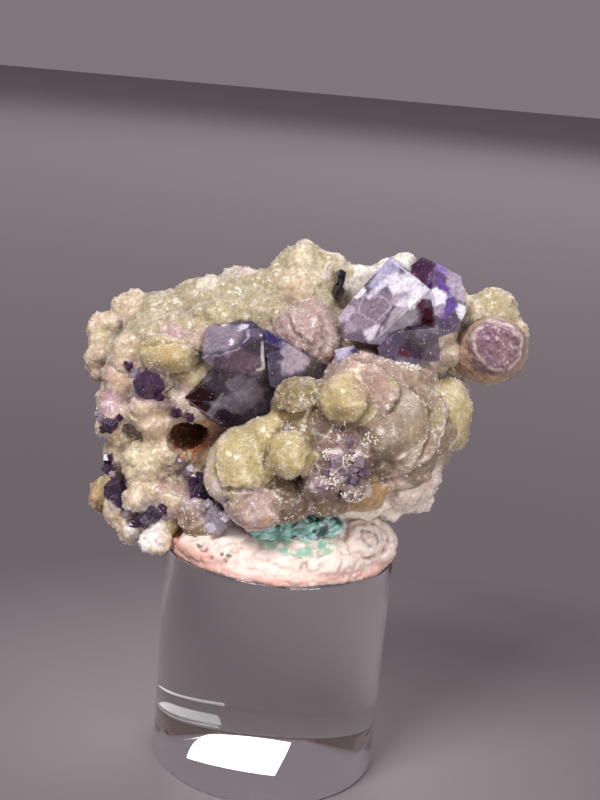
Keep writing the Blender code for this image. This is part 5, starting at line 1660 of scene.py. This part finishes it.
def putty_finish(name, roughness):
    material, tree, shader = new_finish(name)
    grain = noise_value(tree, 0.5, 4.0, 0.6)
    bright = add(tree, "ShaderNodeVectorMath", operation="SCALE")
    tree.links.new(painted(tree, "tint"), bright.inputs[0])
    tree.links.new(spread(tree, grain, 0.3, 0.7, 0.93, 1.05), bright.inputs["Scale"])
    tree.links.new(bright.outputs[0], shader.inputs["Base Color"])
    uneven = spread(tree, grain, 0.3, 0.7, roughness - 0.1, roughness + 0.1)
    tree.links.new(uneven, shader.inputs["Roughness"])
    set_values(shader, Subsurface_Weight=0.3, Subsurface_Radius=(1.0, 0.7, 0.6), Subsurface_Scale=0.5 * MM)
    relief(tree, shader, grain, 0.06, 0.7)
    return material


def rod_finish():
    material, tree, shader = new_finish("clear_acrylic")
    haze = noise_value(tree, 8.0, 2.0)
    tree.links.new(spread(tree, haze, 0.3, 0.7, 0.0, 0.02), shader.inputs["Roughness"])
    set_values(shader, Base_Color=(1, 1, 1, 1), Transmission_Weight=1.0, IOR=1.49)
    return material


def grain_finish():
    material, tree, shader = new_finish("sugar_grain")
    pale = mixed(tree, noise_value(tree, 1.2, 2.0), (0.97, 0.94, 0.90), (0.84, 0.78, 0.74))
    tree.links.new(pale, shader.inputs["Base Color"])
    set_values(shader, Roughness=0.35, IOR=1.434)
    return material


def dress(piece, finish, slot, *nodes):
    """Gives a piece its finish and hands it over as standing for these solids."""
    piece.data.materials.clear()
    piece.data.materials.append(finish)
    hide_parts(*nodes)
    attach(piece, "root")


CRUST_FINISH, CRYSTAL_FINISH = crust_finish(), crystal_finish()
for crust in CRUST:
    dress(crust, CRUST_FINISH, "crust", "crust_matrix")
dress(sugar, grain_finish(), "crust", "crust_matrix")
dress(seeds, CRYSTAL_FINISH, "fluorite", "crust_matrix")
for name, piece in CRYSTALS.items():
    dress(piece, CRYSTAL_FINISH, "coated_fluorite" if "ball" in name else "fluorite", name)
dress(white_putty, putty_finish("pressed_putty", 0.5), "putty", "mounting_putty")
dress(blue_putty, putty_finish("smeared_putty", 0.4), "teal_putty", "teal_putty")
dress(rod, rod_finish(), "acrylic", "acrylic_base")
print("pieces dressed:", len(CRUST) + len(CRYSTALS) + 5)

# %% [markdown]
# ## Floor and light
# A floor carries the specimen. Its colour is a painted gradient of light and shade: lighter under and
# just round the rod, darkest in a ring some 6 to 10 cm out, and lighter again farther off. A soft light
# from above and the left gives the shine on the lumps, a weaker one low on the right fills the front,
# and a wide one behind keeps the back from going dark.

# %% Stage
bpy.ops.object.select_all(action="DESELECT")
FLOOR_SIZE, FLOOR_DROP = 6.0, 0.05  # metres, and millimetres below the rod's foot
bpy.ops.mesh.primitive_plane_add(size=FLOOR_SIZE, location=(0, 0, -FLOOR_DROP * MM))
floor = bpy.context.object
floor.name = "studio_floor"
floor_look, tree, shader = new_finish("floor_look")
where = add(tree, "ShaderNodeTexCoord")
length = add(tree, "ShaderNodeVectorMath", operation="LENGTH")
tree.links.new(where.outputs["Object"], length.inputs[0])
# Painted light and shade: the floor is lighter within 14 mm of the middle, darkest from 6 to 10 cm out, and
# lighter again out to 1.2 m.
far = spread(tree, length.outputs["Value"], 0.014, 0.06)
distance = spread(tree, length.outputs["Value"], 0.1, 1.2)
grey = mixed(tree, distance, (0.36, 0.326, 0.344), (0.62, 0.58, 0.605))
tree.links.new(mixed(tree, far, (0.52, 0.49, 0.50), grey), shader.inputs["Base Color"])
set_values(shader, Roughness=0.9)
floor.data.materials.append(floor_look)

world = bpy.data.worlds.new("studio_world")
world.use_nodes = True
sky = world.node_tree.nodes["Background"]
sky.inputs["Color"].default_value = (*linear((0.50, 0.46, 0.49)), 1)
sky.inputs["Strength"].default_value = 1.0
bpy.context.scene.world = world


def soft_light(name, place, aim, size, power):
    bpy.ops.object.light_add(type="AREA")
    lamp = bpy.context.object
    lamp.name = name
    lamp.data.size = size
    lamp.data.energy = power
    place, aim = Vector(place), Vector(aim)
    turn = (aim - place).to_track_quat("-Z", "Y").to_matrix().to_4x4()
    lamp.matrix_world = Matrix.Translation(place) @ turn


soft_light("key_light", (-0.35, -0.50, 0.85), (0, 0, 0.04), 0.35, 9.0)
soft_light("front_light", (0.45, -0.85, 0.20), (0, 0, 0.04), 0.5, 6.0)
soft_light("rear_light", (0.2, 0.8, 0.9), (0, 0, 0.04), 0.8, 6.5)
bpy.context.scene.view_settings.view_transform = "Standard"
